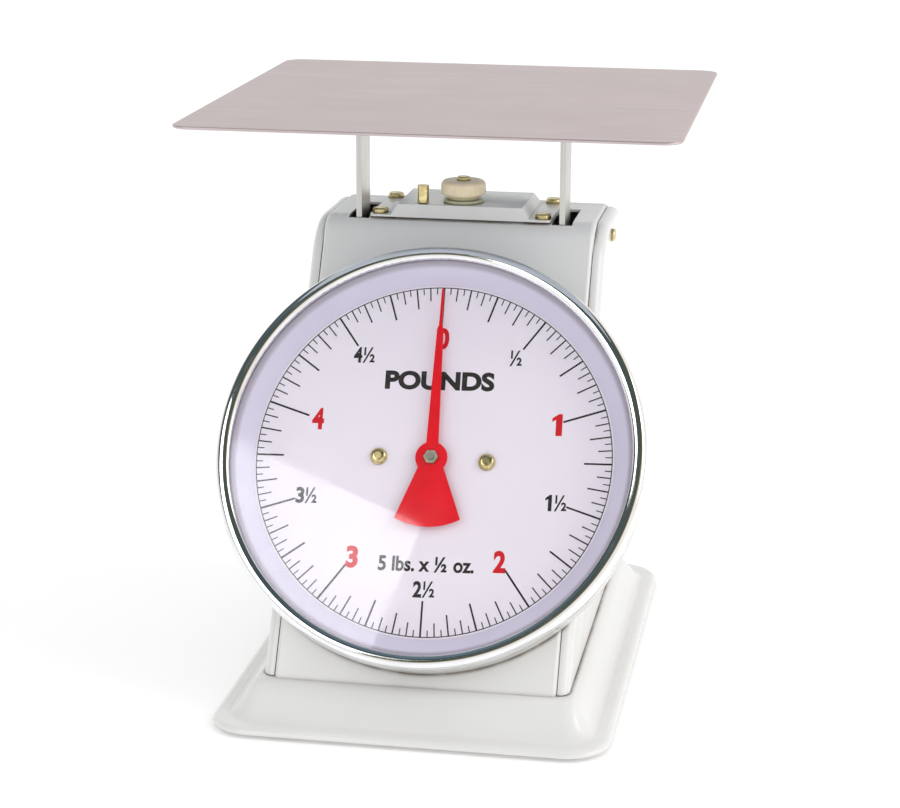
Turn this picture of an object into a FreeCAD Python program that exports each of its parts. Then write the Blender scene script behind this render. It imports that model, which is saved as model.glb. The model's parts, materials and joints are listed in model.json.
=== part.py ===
import FreeCAD, Part
import math
import os

# Portion-control kitchen scale: a pressed plinth, a wedge-shaped casing whose
# front leans back, a round dial on the leaning front, and a flat platform on two
# uprights that go down through slots in the casing's top.  All lengths in mm.
# Frame: +X right, +Y to the back, +Z up; the dial faces -Y.  The origin is on the
# table, under the middle of the object's bounding box.

Vector = FreeCAD.Vector
os.makedirs("parts", exist_ok=True)

# ---- driving dimensions ------------------------------------------------------
LEAN = 30.9                    # degrees the dial leans back from upright
SHEET = 1.2                    # casing sheet
FOOT_H = 2.0                   # the plinth's rim stands this high on its feet

BASE_W = 184.0
BASE_FRONT = -136.45
BASE_BACK = 122.55
BASE_CORNER_R = 20.0
BASE_EDGE_R = 0.8
PLINTH_TOP = 19.0
PLINTH_SHEET = 1.5
PLINTH_SHOULDER = -108.9       # front edge of the level shoulder round the casing
PLINTH_DROP = 14.3             # from the shoulder down to the flat rim
OGEE_SHARE = 0.8               # part of the plinth's slope that the S curve takes up
OGEE_STEPS = 10
RIM_TURN = 3.0                 # the rim's edge turns down over this width
HEM = 13.0                     # the plinth's sheet turns in under the floor this far
FLOOR_T = 1.0
FLOOR_LAP = 2.5                # the floor rests on the hem's inner edge
FOOT_X = 68.0
FOOT_Y = (-108.0, 94.0)

CASING_TOP = 214.0
CASING_BACK = 89.5
CASING_HALF = 66.0             # half width across the wrapped sheet
CASING_FRONT_R = 13.0
PANEL_FRONT_R = 30.0            # top front corner of the side panels
CASING_BACK_R = 28.0
WRAP_EDGE_R = 2.4
FLANGE = 14.0                  # width of the casing's inner side flange
PANEL_BULGE = 5.5              # how far a side panel stands out
PANEL_EDGE_R = 4.4
SPLIT_Y = CASING_BACK - CASING_BACK_R          # seam between front sheet and back cover
SIDE_SCREWS = [(34.0, 204.5), (79.0, 29.0)]
BACK_SCREWS = [(-52.0, 30.0), (52.0, 30.0), (-52.0, 170.0), (52.0, 170.0)]

BRIDGE_TOP = CASING_TOP + 6.5
BRIDGE_SHEET = 1.0
BRIDGE_SCREWS = [(-40.0, 16.6), (40.0, 16.6), (-40.0, 56.0), (40.0, 56.0)]
STOP_X = -18.6
STOP_Y = 15.2

DIAL_Y = -60.45
DIAL_Z = 114.2
DIAL_TWIST = 1.5               # degrees the dial's print and pointer are turned
PANEL_OFF = -8.4               # casing's front sheet, measured from the dial's face
DRUM_R = 99.6
BEZEL_R = 101.0
BEZEL_IN_R = 94.3
LENS_OFF = 9.5
LENS_T = 2.0
DIAL_R = 87.0
DIAL_T = 0.8
DIAL_SCREW_X = 25.6
DRUM_SCREWS = [(x, y) for x in (-52.0, 52.0) for y in (-68.0, 68.0)]
POINTER_OFF = 3.2
POINTER_T = 0.6

PLATFORM_SIDE = 228.6
PLATFORM_TOP = 272.0
PLATFORM_T = 1.4
PLATFORM_CORNER_R = 9.0
PLATFORM_Y = 22.15

UPRIGHT_X = 49.8               # middle of the flat bar
UPRIGHT_T = 2.8
UPRIGHT_D = 20.0
UPRIGHT_FOOT = 40.0
SLOT_W = 10.0
SLOT_FRONT = 11.2
SLOT_BACK = 46.2

MOVEMENT_FRONT = -21.0         # front face of the movement's front plate
MOVEMENT_REAR = -41.0          # front face of its rear plate
PLATE_T = 1.5
PLATE_PILLARS = [(-29.0, -19.0), (29.0, -19.0), (-29.0, 26.0), (29.0, 26.0)]
BUSH_R = 4.0
SHAFT_R = 1.6
RUNNING = 0.05                 # radial clearance of a running fit

MODULE = 0.5
PINION_TEETH = 10
PINION_T = 6.0
TOOTH_T = 0.60                 # tooth thickness on the pitch line, thinned for backlash
PRESSURE_ANGLE = 20.0
RACK_OFF = -32.0               # middle of the rack and pinion, behind the dial's face
RACK_BACK_X = 8.4
RACK_T = 4.0
RACK_LOW = -9.0
RACK_HIGH = 72.0
RACK_PIN_R = 1.5
EYE_X = 5.6

LINK_LENGTH = 48.0
UPPER_LINK_Z = 165.0
LOWER_LINK_Z = 72.0
LINK_REAR_Y = 76.0
LINK_PIN_R = 1.5
LINK_SHAFT_R = 2.0
LINK_ARM_X = 44.4              # inner face of a link's arm
LINK_ARM_T = 1.6
LINK_EYE_R = 4.5

SPRING_X = 20.0
COIL_R = 5.5
WIRE_R = 0.8
SPRING_LOW = 52.0
HANGER_Z = 190.0
HANGER_T = 3.0
KNOB_R = 11.1
KNOB_H = 9.0
WASHER_TOP = BRIDGE_TOP + 1.7
CHANNEL_T = 2.0
FLANGE_LEN = 24.0
UPRIGHT_SCREW_Y = 5.5          # screws each side of the middle of an upright's flange
BAR_T = 3.0

# ---- worked-out values -------------------------------------------------------
SIN_L = math.sin(math.radians(LEAN))
COS_L = math.cos(math.radians(LEAN))
FLOOR_BOTTOM = FOOT_H + 1.0
FOOT_PLACES = [(x, y) for x in (-FOOT_X, FOOT_X) for y in FOOT_Y]
PITCH = math.pi * MODULE
PINION_R = MODULE * PINION_TEETH / 2
TOOTH_SLOPE = math.tan(math.radians(PRESSURE_ANGLE))
RACK_TRAVEL = PITCH * PINION_TEETH
TRAVEL = RACK_TRAVEL * COS_L                   # platform travel for one turn
LINK_TILT = math.degrees(math.asin(TRAVEL / 2 / LINK_LENGTH))
WALL_X = CASING_HALF + 0.1                     # inner face of a side panel's rim
EYE_Y = DIAL_Y + RACK_HIGH * SIN_L - RACK_OFF * COS_L
EYE_Z = DIAL_Z + RACK_HIGH * COS_L + RACK_OFF * SIN_L + 1.0
CHANNEL_LOW = PLATFORM_TOP - PLATFORM_T - CHANNEL_T
BAR_LOW = UPRIGHT_FOOT + UPRIGHT_T
SPRING_HIGH = HANGER_Z - 4.0
DIAL_PLACE = FreeCAD.Placement(Vector(0, DIAL_Y, DIAL_Z),
                               FreeCAD.Rotation(Vector(1, 0, 0), 90 - LEAN))
X_AXIS = Vector(1, 0, 0)
Y_AXIS = Vector(0, 1, 0)
Z_AXIS = Vector(0, 0, 1)

NODES = {}


# ---- helpers -----------------------------------------------------------------
def keep(name, shape):
    """Hold one sub-part under its node name."""
    NODES[name] = shape


def box(x0, x1, y0, y1, z0, z1):
    return Part.makeBox(x1 - x0, y1 - y0, z1 - z0, Vector(x0, y0, z0))


def rod(start, axis, length, radius):
    return Part.makeCylinder(radius, length, start, axis)


def tube(start, axis, length, radius, bore):
    return rod(start, axis, length, radius).cut(rod(start, axis, length, bore))


def turned(points):
    """Solid of revolution about Z from (radius, height) points."""
    wire = Part.makePolygon([Vector(r, 0, h) for r, h in points + points[:1]])
    return Part.Face(wire).revolve(Vector(), Z_AXIS, 360)


def on_dial(shape):
    """Move a shape made about Z (Z out of the dial, Y up it) to the dial."""
    placed = shape.copy()
    placed.Placement = DIAL_PLACE.multiply(placed.Placement)
    return placed


def group(shapes):
    return Part.makeCompound(shapes)


def rounded_outline(x0, x1, y0, y1, z, radius):
    """Closed wire of a rectangle with round corners, level at height z."""
    edges = []
    corners = [(x1, y1, 0), (x0, y1, 90), (x0, y0, 180), (x1, y0, 270)]
    ends = []
    for x, y, turn in corners:
        inward_x = -radius if x == x1 else radius
        inward_y = -radius if y == y1 else radius
        centre = Vector(x + inward_x, y + inward_y, z)
        points = []
        for angle in (turn, turn + 45, turn + 90):
            bearing = math.radians(angle)
            points.append(centre + Vector(math.cos(bearing), math.sin(bearing), 0) * radius)
        edges.append(Part.Arc(*points).toShape())
        ends.append((points[0], points[2]))
    lines = []
    for index in range(4):
        lines.append(Part.makeLine(ends[index][1], ends[(index + 1) % 4][0]))
    ordered = []
    for index in range(4):
        ordered += [edges[index], lines[index]]
    return Part.Wire(ordered)


def rounded_plate(x0, x1, y0, y1, z0, z1, radius):
    return Part.Face(rounded_outline(x0, x1, y0, y1, z0, radius)).extrude(Vector(0, 0, z1 - z0))


def hexagon(radius):
    corners = []
    for index in range(7):
        angle = math.radians(60 * index)
        corners.append(Vector(radius * math.cos(angle), radius * math.sin(angle), 0))
    return Part.Face(Part.makePolygon(corners))


def screw(seat, axis, head_r, head_h, shank_r, shank_len, slotted=True):
    """Round-head screw: the head stands on `seat`, the shank goes in against `axis`."""
    head = Part.makeCylinder(head_r, head_h)
    crown = [edge for edge in head.Edges if edge.BoundBox.ZMin > head_h / 2]
    head = head.makeFillet(head_h * 0.55 if slotted else head_h * 0.9, crown)
    if slotted:
        slot_half = head_r * 0.13
        head = head.cut(box(-head_r, head_r, -slot_half, slot_half, head_h * 0.55, head_h + 1))
    shape = head.fuse(Part.makeCylinder(shank_r, shank_len, Vector(0, 0, -shank_len)))
    shape.Placement = FreeCAD.Placement(seat, FreeCAD.Rotation(Z_AXIS, axis))
    return shape


def casing_profile(inset, foot_z, x, corner_r):
    """Side outline of the casing, inset from the outer sheet, as a face at x."""
    behind = inset - PANEL_OFF
    front_y = DIAL_Y + behind * COS_L
    front_z = DIAL_Z - behind * SIN_L
    top = CASING_TOP - inset
    back = CASING_BACK - inset
    front_r = max(corner_r - inset, 1.0)
    back_r = max(CASING_BACK_R - inset, 1.0)

    def on_front(z):
        return front_y + (z - front_z) * SIN_L / COS_L

    turn = 90 - LEAN
    reach = front_r * math.tan(math.radians(turn / 2))
    corner_y = on_front(top)
    foot = Vector(x, on_front(foot_z), foot_z)
    front_end = Vector(x, corner_y - reach * SIN_L, top - reach * COS_L)
    top_start = Vector(x, corner_y + reach, top)
    centre = Vector(x, corner_y + reach, top - front_r)
    bearing = math.radians(90 + turn / 2)
    front_mid = centre + Vector(0, math.cos(bearing), math.sin(bearing)) * front_r
    top_end = Vector(x, back - back_r, top)
    back_mid = Vector(x, back - back_r, top - back_r) + Vector(0, 1, 1) * (back_r * math.sqrt(0.5))
    back_start = Vector(x, back, top - back_r)
    back_foot = Vector(x, back, foot_z)
    edges = [
        Part.makeLine(foot, front_end),
        Part.Arc(front_end, front_mid, top_start).toShape(),
        Part.makeLine(top_start, top_end),
        Part.Arc(top_end, back_mid, back_start).toShape(),
        Part.makeLine(back_start, back_foot),
        Part.makeLine(back_foot, foot),
    ]
    return Part.Face(Part.Wire(edges))


def casing_block(inset, foot_z, x0, x1, corner_r=CASING_FRONT_R):
    return casing_profile(inset, foot_z, x0, corner_r).extrude(Vector(x1 - x0, 0, 0))


def edges_on_side(shape, x, foot_z):
    """Edges that run round the casing in the plane at x, without the foot's."""
    chosen = []
    for edge in shape.Edges:
        bounds = edge.BoundBox
        flat = abs(bounds.XMin - x) < 0.01 and abs(bounds.XMax - x) < 0.01
        if flat and bounds.ZMax > foot_z + 0.01:
            chosen.append(edge)
    return chosen


# ---- plinth and feet ---------------------------------------------------------
def plinth_sections(shrink):
    """Outlines down the plinth: an S curve from the shoulder, a flat rim, a turned-down edge."""
    shoulder = (CASING_HALF + PANEL_BULGE + 1.0, PLINTH_SHOULDER, CASING_BACK + 1.2, 3.5)
    rim = (BASE_W / 2 - RIM_TURN, BASE_FRONT + RIM_TURN, BASE_BACK - RIM_TURN, BASE_CORNER_R - RIM_TURN)
    rings = []
    for step in range(OGEE_STEPS + 1):
        part = step / OGEE_STEPS
        fall = (1 - math.cos(math.pi * min(part / OGEE_SHARE, 1.0))) / 2
        half, front, back, radius = [a + (b - a) * part for a, b in zip(shoulder, rim)]
        rings.append((half, front, back, radius, PLINTH_TOP - PLINTH_DROP * fall))
    edge_z = PLINTH_TOP - PLINTH_DROP - BASE_EDGE_R
    for inset, z in ((BASE_EDGE_R, edge_z + BASE_EDGE_R / 2), (0.0, edge_z - BASE_EDGE_R), (0.0, FOOT_H)):
        rings.append((BASE_W / 2 - inset, BASE_FRONT + inset, BASE_BACK - inset, BASE_CORNER_R - inset, z))
    outlines = []
    for half, front, back, radius, z in rings:
        outlines.append(rounded_outline(-half + shrink, half - shrink, front + shrink, back - shrink,
                                        z - shrink * 0.8, max(radius - shrink, 0.8)))
    return outlines


def make_plinth():
    outer = Part.makeLoft(plinth_sections(0.0), True, True)
    inner = Part.makeLoft(plinth_sections(PLINTH_SHEET), True, True)
    hollow = inner.common(box(-BASE_W, BASE_W, -BASE_W, BASE_W, FLOOR_BOTTOM, CASING_TOP))
    mouth_front = PLINTH_SHOULDER - HEM + FLOOR_LAP / 2
    mouth_back = CASING_BACK + 1.2 + HEM + FLOOR_LAP
    mouth = rounded_plate(-BASE_W / 2 + HEM, BASE_W / 2 - HEM, mouth_front, mouth_back,
                          FOOT_H - 1, FLOOR_BOTTOM + 0.5, BASE_CORNER_R - HEM)
    keep("base_plinth", outer.cut(hollow).cut(mouth))


def make_floor_and_feet():
    edge = HEM - FLOOR_LAP
    plate = rounded_plate(-BASE_W / 2 + edge, BASE_W / 2 - edge, PLINTH_SHOULDER - HEM - FLOOR_LAP / 2,
                          CASING_BACK + 1.2 + HEM + FLOOR_LAP * 2, FLOOR_BOTTOM, FLOOR_BOTTOM + FLOOR_T,
                          BASE_CORNER_R - edge)
    screw_r = 2.0
    recess = 1.4
    feet = []
    screws = []
    nuts = []
    for x, y in FOOT_PLACES:
        plate = plate.cut(rod(Vector(x, y, 0), Z_AXIS, 10, screw_r + 0.1))
        foot = turned([(2.1, recess), (5.0, recess), (5.0, 0.0), (8.0, 0.0), (9.0, FLOOR_BOTTOM),
                       (2.1, FLOOR_BOTTOM)])
        foot.translate(Vector(x, y, 0))
        feet.append(foot)
        screws.append(screw(Vector(x, y, recess), -Z_AXIS, 3.6, 0.9, screw_r, 6.2))
        nut = hexagon(3.9).extrude(Vector(0, 0, 2.6)).cut(Part.makeCylinder(screw_r, 2.6))
        nut.translate(Vector(x, y, FLOOR_BOTTOM + FLOOR_T))
        nuts.append(nut)
    keep("base_floor", plate)
    keep("rubber_feet", group(feet))
    keep("foot_screws", group(screws))
    keep("foot_nuts", group(nuts))


# ---- casing ------------------------------------------------------------------
def make_casing():
    block = casing_block(0, PLINTH_TOP, -CASING_HALF, CASING_HALF)
    rim = edges_on_side(block, -CASING_HALF, PLINTH_TOP) + edges_on_side(block, CASING_HALF, PLINTH_TOP)
    block = block.makeFillet(WRAP_EDGE_R, rim)
    inner_half = CASING_HALF - SHEET
    shell = block.cut(casing_block(SHEET, PLINTH_TOP - 5, -inner_half, inner_half))
    shell = shell.cut(casing_block(FLANGE, PLINTH_TOP - 5, -CASING_HALF - 5, CASING_HALF + 5))
    for sx in (-1, 1):
        middle = sx * UPRIGHT_X
        shell = shell.cut(box(middle - SLOT_W / 2, middle + SLOT_W / 2, SLOT_FRONT, SLOT_BACK,
                              CASING_TOP - 5, CASING_TOP + 5))
        for y, z in SIDE_SCREWS:
            shell = shell.cut(rod(Vector(sx * (CASING_HALF - 4), y, z), X_AXIS * sx, 8, 1.3))
    shell = shell.cut(rod(Vector(0, PLATFORM_Y, CASING_TOP - 5), Z_AXIS, 10, 3.2))
    for x, y in BRIDGE_SCREWS:
        shell = shell.cut(rod(Vector(x, y, CASING_TOP - 5), Z_AXIS, 10, 1.6))
    shell = shell.cut(rod(Vector(STOP_X, STOP_Y, CASING_TOP - 5), Z_AXIS, 10, 2.0))
    window = Part.makeCylinder(42.0, 8.0, Vector(0, 0, PANEL_OFF - 4))
    shell = shell.cut(on_dial(window))
    for x, y in DRUM_SCREWS:
        shell = shell.cut(on_dial(Part.makeCylinder(1.6, 8.0, Vector(x, y, PANEL_OFF - 4))))
    for x, z in BACK_SCREWS:
        shell = shell.cut(rod(Vector(x, CASING_BACK - 5, z), Y_AXIS, 10, 1.3))
    gap = 0.15
    front_half = box(-200, 200, -200, SPLIT_Y - gap, 0, 300)
    back_half = box(-200, 200, SPLIT_Y + gap, 200, 0, 300)
    keep("casing_shell", shell.common(front_half))
    keep("casing_back", shell.common(back_half))


def make_side_panels():
    rim_gap = 1.3
    wall = 1.0
    out_x = CASING_HALF + PANEL_BULGE
    foot = PLINTH_TOP + 0.4
    block = casing_block(rim_gap, foot, WALL_X, out_x, PANEL_FRONT_R)
    block = block.makeFillet(PANEL_EDGE_R, edges_on_side(block, out_x, foot))
    hollow = casing_block(rim_gap + wall, foot + wall, WALL_X - 1, out_x - wall, PANEL_FRONT_R)
    hollow = hollow.makeFillet(PANEL_EDGE_R - wall, edges_on_side(hollow, out_x - wall, foot + wall))
    panel = block.cut(hollow)
    screws = []
    for y, z in SIDE_SCREWS:
        panel = panel.cut(rod(Vector(out_x - 3, y, z), X_AXIS, 6, 1.6))
    mirrored = panel.mirror(Vector(), X_AXIS)
    for sx in (-1, 1):
        for y, z in SIDE_SCREWS:
            screws.append(screw(Vector(sx * out_x, y, z), X_AXIS * sx, 3.0, 1.8, 1.3, 8.5))
    keep("side_panel_right", panel)
    keep("side_panel_left", mirrored)
    keep("side_panel_screws", group(screws))
    backs = []
    for x, z in BACK_SCREWS:
        backs.append(screw(Vector(x, CASING_BACK, z), Y_AXIS, 3.2, 1.9, 1.3, 6.0))
    keep("back_cover_screws", group(backs))


# ---- bridge, zero knob and stop screw on the casing's top ---------------------
def make_bridge():
    front, back = 10.6, 62.0
    raised_back = 52.0
    half_top, half_foot = 30.5, 34.6
    half_flange = 44.3

    def raised(inset, z_foot):
        low = [(-half_foot + inset, front + inset), (half_foot - inset, front + inset),
               (half_foot - inset, raised_back + 4 - inset), (-half_foot + inset, raised_back + 4 - inset)]
        high = [(-half_top + inset, front + inset), (half_top - inset, front + inset),
                (half_top - inset, raised_back - inset), (-half_top + inset, raised_back - inset)]
        wires = []
        for points, z in ((low, z_foot), (high, BRIDGE_TOP - inset)):
            wires.append(Part.makePolygon([Vector(x, y, z) for x, y in points + points[:1]]))
        return Part.makeLoft(wires, True, True)

    flange_top = CASING_TOP + BRIDGE_SHEET
    flange = rounded_plate(-half_flange, half_flange, front, back, CASING_TOP, flange_top, 2.0)
    shape = flange.fuse(raised(0, CASING_TOP)).cut(raised(BRIDGE_SHEET, CASING_TOP - 0.5))
    shape = shape.cut(rod(Vector(0, PLATFORM_Y, CASING_TOP), Z_AXIS, 10, 3.2))
    shape = shape.cut(rod(Vector(STOP_X, STOP_Y, CASING_TOP), Z_AXIS, 10, 2.0))
    screws = []
    for x, y in BRIDGE_SCREWS:
        shape = shape.cut(rod(Vector(x, y, CASING_TOP - 1), Z_AXIS, 5, 1.6))
        seat = Vector(x, y, CASING_TOP + BRIDGE_SHEET)
        screws.append(screw(seat, Z_AXIS, 3.9, 2.5, 1.5, 6.0))
    keep("bridge_bracket", shape)
    keep("bridge_screws", group(screws))
    post = Part.makeCylinder(2.8, 8.4, Vector(0, 0, 0.4))
    post = post.fuse(Part.makeCylinder(1.9, 14.0, Vector(0, 0, -13.6)))
    post = post.cut(box(-3, 3, -0.4, 0.4, 7.4, 9.0))
    post.translate(Vector(STOP_X, STOP_Y, BRIDGE_TOP))
    keep("travel_stop_screw", post)


def make_knob():
    washer = turned([(2.8, 0.05), (9.7, 0.05), (9.7, 1.65), (2.8, 1.65)])
    washer.translate(Vector(0, PLATFORM_Y, BRIDGE_TOP))
    keep("knob_washer", washer)
    knob = turned([(2.5, 0.0), (7.7, 0.0), (7.7, 1.2), (9.2, 1.4), (KNOB_R, 2.6),
                   (KNOB_R - 0.3, KNOB_H - 1.2), (KNOB_R - 1.6, KNOB_H), (2.5, KNOB_H)])
    grooves = 24
    for index in range(grooves):
        angle = 360.0 / grooves * index
        groove = Part.makeCylinder(0.4, KNOB_H, Vector(KNOB_R + 0.2, 0, 1.8))
        groove.rotate(Vector(), Z_AXIS, angle)
        knob = knob.cut(groove)
    knob.translate(Vector(0, PLATFORM_Y, WASHER_TOP + RUNNING))
    keep("zero_knob", knob)
    seat = Vector(0, PLATFORM_Y, WASHER_TOP + RUNNING + KNOB_H)
    keep("adjusting_screw", screw(seat, Z_AXIS, 3.3, 1.9, 2.5, 45.5))


# ---- dial ---------------------------------------------------------------------
def make_dial_case():
    wall = 1.2
    floor_t = 1.0
    rim = LENS_OFF + LENS_T - 0.1
    drum = turned([(70.0, PANEL_OFF), (DRUM_R, PANEL_OFF), (DRUM_R, rim), (DRUM_R - wall, rim),
                   (DRUM_R - wall, PANEL_OFF + floor_t), (70.0, PANEL_OFF + floor_t)])
    screws = []
    for x, y in DRUM_SCREWS:
        drum = drum.cut(Part.makeCylinder(1.6, 4, Vector(x, y, PANEL_OFF - 1)))
        screws.append(screw(Vector(x, y, PANEL_OFF + floor_t), Z_AXIS, 3.0, 1.8, 1.5, 6.0))
    keep("dial_drum", on_dial(drum))
    keep("drum_screws", on_dial(group(screws)))
    lip = DRUM_R - wall - 0.3
    ring = turned([(84.8, 0.0), (86.4, 0.0), (95.2, LENS_OFF - 1.0), (lip, LENS_OFF - 1.0), (lip, LENS_OFF),
                   (94.2, LENS_OFF)])
    keep("dial_surround", on_dial(ring))
    lens = turned([(0.0, LENS_OFF), (lip, LENS_OFF), (lip, LENS_OFF + LENS_T), (0.0, LENS_OFF + LENS_T)])
    keep("lens", on_dial(lens))


def make_bezel():
    """Rolled ring: a round crown, a lip on the lens and a skirt over the drum."""
    seat = LENS_OFF + LENS_T + 0.1
    skirt = 4.6
    crown = seat + 2.5
    inner_skirt = DRUM_R + 0.15
    start = Vector(BEZEL_IN_R, 0, seat)
    lip = Vector(BEZEL_IN_R, 0, seat + 0.5)
    top = Vector(97.3, 0, crown)
    side = Vector(BEZEL_R, 0, seat - 2.4)
    foot = Vector(BEZEL_R, 0, skirt)
    foot_in = Vector(inner_skirt, 0, skirt)
    seat_out = Vector(inner_skirt, 0, seat)
    edges = [
        Part.makeLine(start, lip),
        Part.Arc(lip, Vector(95.3, 0, crown - 0.7), top).toShape(),
        Part.Arc(top, Vector(100.0, 0, crown - 1.5), side).toShape(),
        Part.makeLine(side, foot),
        Part.makeLine(foot, foot_in),
        Part.makeLine(foot_in, seat_out),
        Part.makeLine(seat_out, start),
    ]
    ring = Part.Face(Part.Wire(edges)).revolve(Vector(), Z_AXIS, 360)
    keep("bezel", on_dial(ring))


def make_dial_plate():
    plate = Part.makeCylinder(DIAL_R, DIAL_T, Vector(0, 0, -DIAL_T))
    plate = plate.cut(Part.makeCylinder(4.5, 4, Vector(0, 0, -2)))
    spacers = []
    screws = []
    for sx in (-1, 1):
        x = sx * DIAL_SCREW_X
        plate = plate.cut(Part.makeCylinder(2.2, 4, Vector(x, 0, -2)))
        foot = MOVEMENT_FRONT
        spacers.append(tube(Vector(x, 0, foot), Z_AXIS, -DIAL_T - foot, 4.0, 2.1))
        screws.append(screw(Vector(x, 0, 0), Z_AXIS, 4.1, 2.6, 2.0, 10.0, slotted=False))
    keep("dial_plate", on_dial(plate))
    keep("dial_spacers", on_dial(group(spacers)))
    keep("dial_screws", on_dial(group(screws)))


# ---- movement: plates, pinion, pointer and rack --------------------------------
def make_movement():
    def plate(front):
        shape = rounded_plate(-35.0, 35.0, -25.0, 32.0, front - PLATE_T, front, 4.0)
        shape = shape.cut(Part.makeCylinder(BUSH_R, 10, Vector(0, 0, front - 5)))
        return shape

    keep("movement_front_plate", on_dial(plate(MOVEMENT_FRONT)))
    keep("movement_rear_plate", on_dial(plate(MOVEMENT_REAR)))
    for name, front in (("front_bearing_bush", MOVEMENT_FRONT), ("rear_bearing_bush", MOVEMENT_REAR)):
        bush = turned([(SHAFT_R + RUNNING, front - PLATE_T - 1.0), (BUSH_R, front - PLATE_T - 1.0),
                       (BUSH_R, front), (BUSH_R + 1.5, front), (BUSH_R + 1.5, front + 1.0),
                       (SHAFT_R + RUNNING, front + 1.0)])
        keep(name, on_dial(bush))
    back_of_panel = PANEL_OFF - SHEET
    spacers = []
    pillars = []
    for x, y in PLATE_PILLARS:
        spacers.append(tube(Vector(x, y, MOVEMENT_FRONT), Z_AXIS, back_of_panel - MOVEMENT_FRONT, 3.0, 1.5))
        gap = MOVEMENT_FRONT - PLATE_T - MOVEMENT_REAR
        pillars.append(tube(Vector(x, y, MOVEMENT_REAR), Z_AXIS, gap, 3.0, 1.5))
    foot_ring = turned([(30.0, back_of_panel - 1.5), (46.0, back_of_panel - 1.5), (46.0, back_of_panel),
                        (30.0, back_of_panel)])
    spacers = [s.common(box(-60, 60, -60, 60, -60, back_of_panel - 1.5)) for s in spacers]
    keep("movement_ring", on_dial(foot_ring))
    keep("movement_spacers", on_dial(group(spacers)))
    keep("movement_pillars", on_dial(group(pillars)))
    guide_x = RACK_BACK_X + 0.3 + 2.0
    guide_len = MOVEMENT_FRONT - PLATE_T - MOVEMENT_REAR
    guide = Part.makeCylinder(2.0, guide_len, Vector(guide_x, 0, MOVEMENT_REAR))
    keep("rack_guide_post", on_dial(guide))


def pinion_outline():
    """Ten-tooth involute outline with radial roots, a gap facing +X."""
    base_r = PINION_R * math.cos(math.radians(PRESSURE_ANGLE))
    tip_r = PINION_R + 0.42
    root_r = 1.95
    half_pitch_angle = TOOTH_T / 2 / PINION_R
    involute = TOOTH_SLOPE - math.radians(PRESSURE_ANGLE)

    def half_angle(radius):
        if radius <= base_r:
            return half_pitch_angle + involute
        alpha = math.acos(base_r / radius)
        return half_pitch_angle + involute - (math.tan(alpha) - alpha)

    flank = [root_r, base_r, 2.55, 2.75, tip_r]
    points = []
    for tooth in range(PINION_TEETH):
        middle = (tooth + 0.5) * 2 * math.pi / PINION_TEETH
        for radius in flank:
            angle = middle - half_angle(radius)
            points.append(Vector(radius * math.cos(angle), radius * math.sin(angle), 0))
        for radius in reversed(flank):
            angle = middle + half_angle(radius)
            points.append(Vector(radius * math.cos(angle), radius * math.sin(angle), 0))
    return Part.makePolygon(points + points[:1])


def make_pointer_train():
    shaft = Part.makeCylinder(SHAFT_R, 6.6 - (MOVEMENT_REAR - 4.0), Vector(0, 0, MOVEMENT_REAR - 4.0))
    keep("pointer_shaft", on_dial(shaft))
    pinion = Part.Face(pinion_outline()).extrude(Vector(0, 0, PINION_T))
    pinion.translate(Vector(0, 0, RACK_OFF - PINION_T / 2))
    keep("pinion", on_dial(pinion.cut(Part.makeCylinder(SHAFT_R, 60, Vector(0, 0, -60)))))
    hub = turned([(SHAFT_R, 1.0), (3.0, 1.0), (3.0, POINTER_OFF), (SHAFT_R, POINTER_OFF)])
    keep("pointer_hub", on_dial(hub))
    nut = hexagon(3.5).extrude(Vector(0, 0, 2.2)).cut(Part.makeCylinder(SHAFT_R, 3.0))
    nut.translate(Vector(0, 0, POINTER_OFF + POINTER_T))
    keep("pointer_nut", on_dial(nut))
    keep("pointer", on_dial(pointer_blade()))


def pointer_blade():
    hub_r = 7.6
    tail_r = 33.0
    tail_half = math.radians(28)
    tail_x = tail_r * math.sin(tail_half)
    tail_y = -tail_r * math.cos(tail_half)
    half = [(3.1, 0.0), (1.55, 62.5), (0.8, 64.5), (0.55, 82.0)]
    needle = half + [(0.0, 83.0)] + [(-x, y) for x, y in reversed(half)]
    needle = Part.Face(Part.makePolygon([Vector(x, y, 0) for x, y in needle + needle[:1]]))
    edges = [
        Part.makeLine(Vector(-4.2, 0, 0), Vector(4.2, 0, 0)),
        Part.makeLine(Vector(4.2, 0, 0), Vector(tail_x, tail_y, 0)),
        Part.Arc(Vector(tail_x, tail_y, 0), Vector(0, -tail_r, 0), Vector(-tail_x, tail_y, 0)).toShape(),
        Part.makeLine(Vector(-tail_x, tail_y, 0), Vector(-4.2, 0, 0)),
    ]
    tail = Part.Face(Part.Wire(edges))
    rise = Vector(0, 0, POINTER_T)
    blade = needle.extrude(rise).fuse(tail.extrude(rise))
    blade = blade.fuse(Part.makeCylinder(hub_r, POINTER_T)).removeSplitter()
    blade = blade.cut(Part.makeCylinder(SHAFT_R, POINTER_T))
    blade.rotate(Vector(), Z_AXIS, DIAL_TWIST)
    blade.translate(Vector(0, 0, POINTER_OFF))
    return blade


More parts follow.
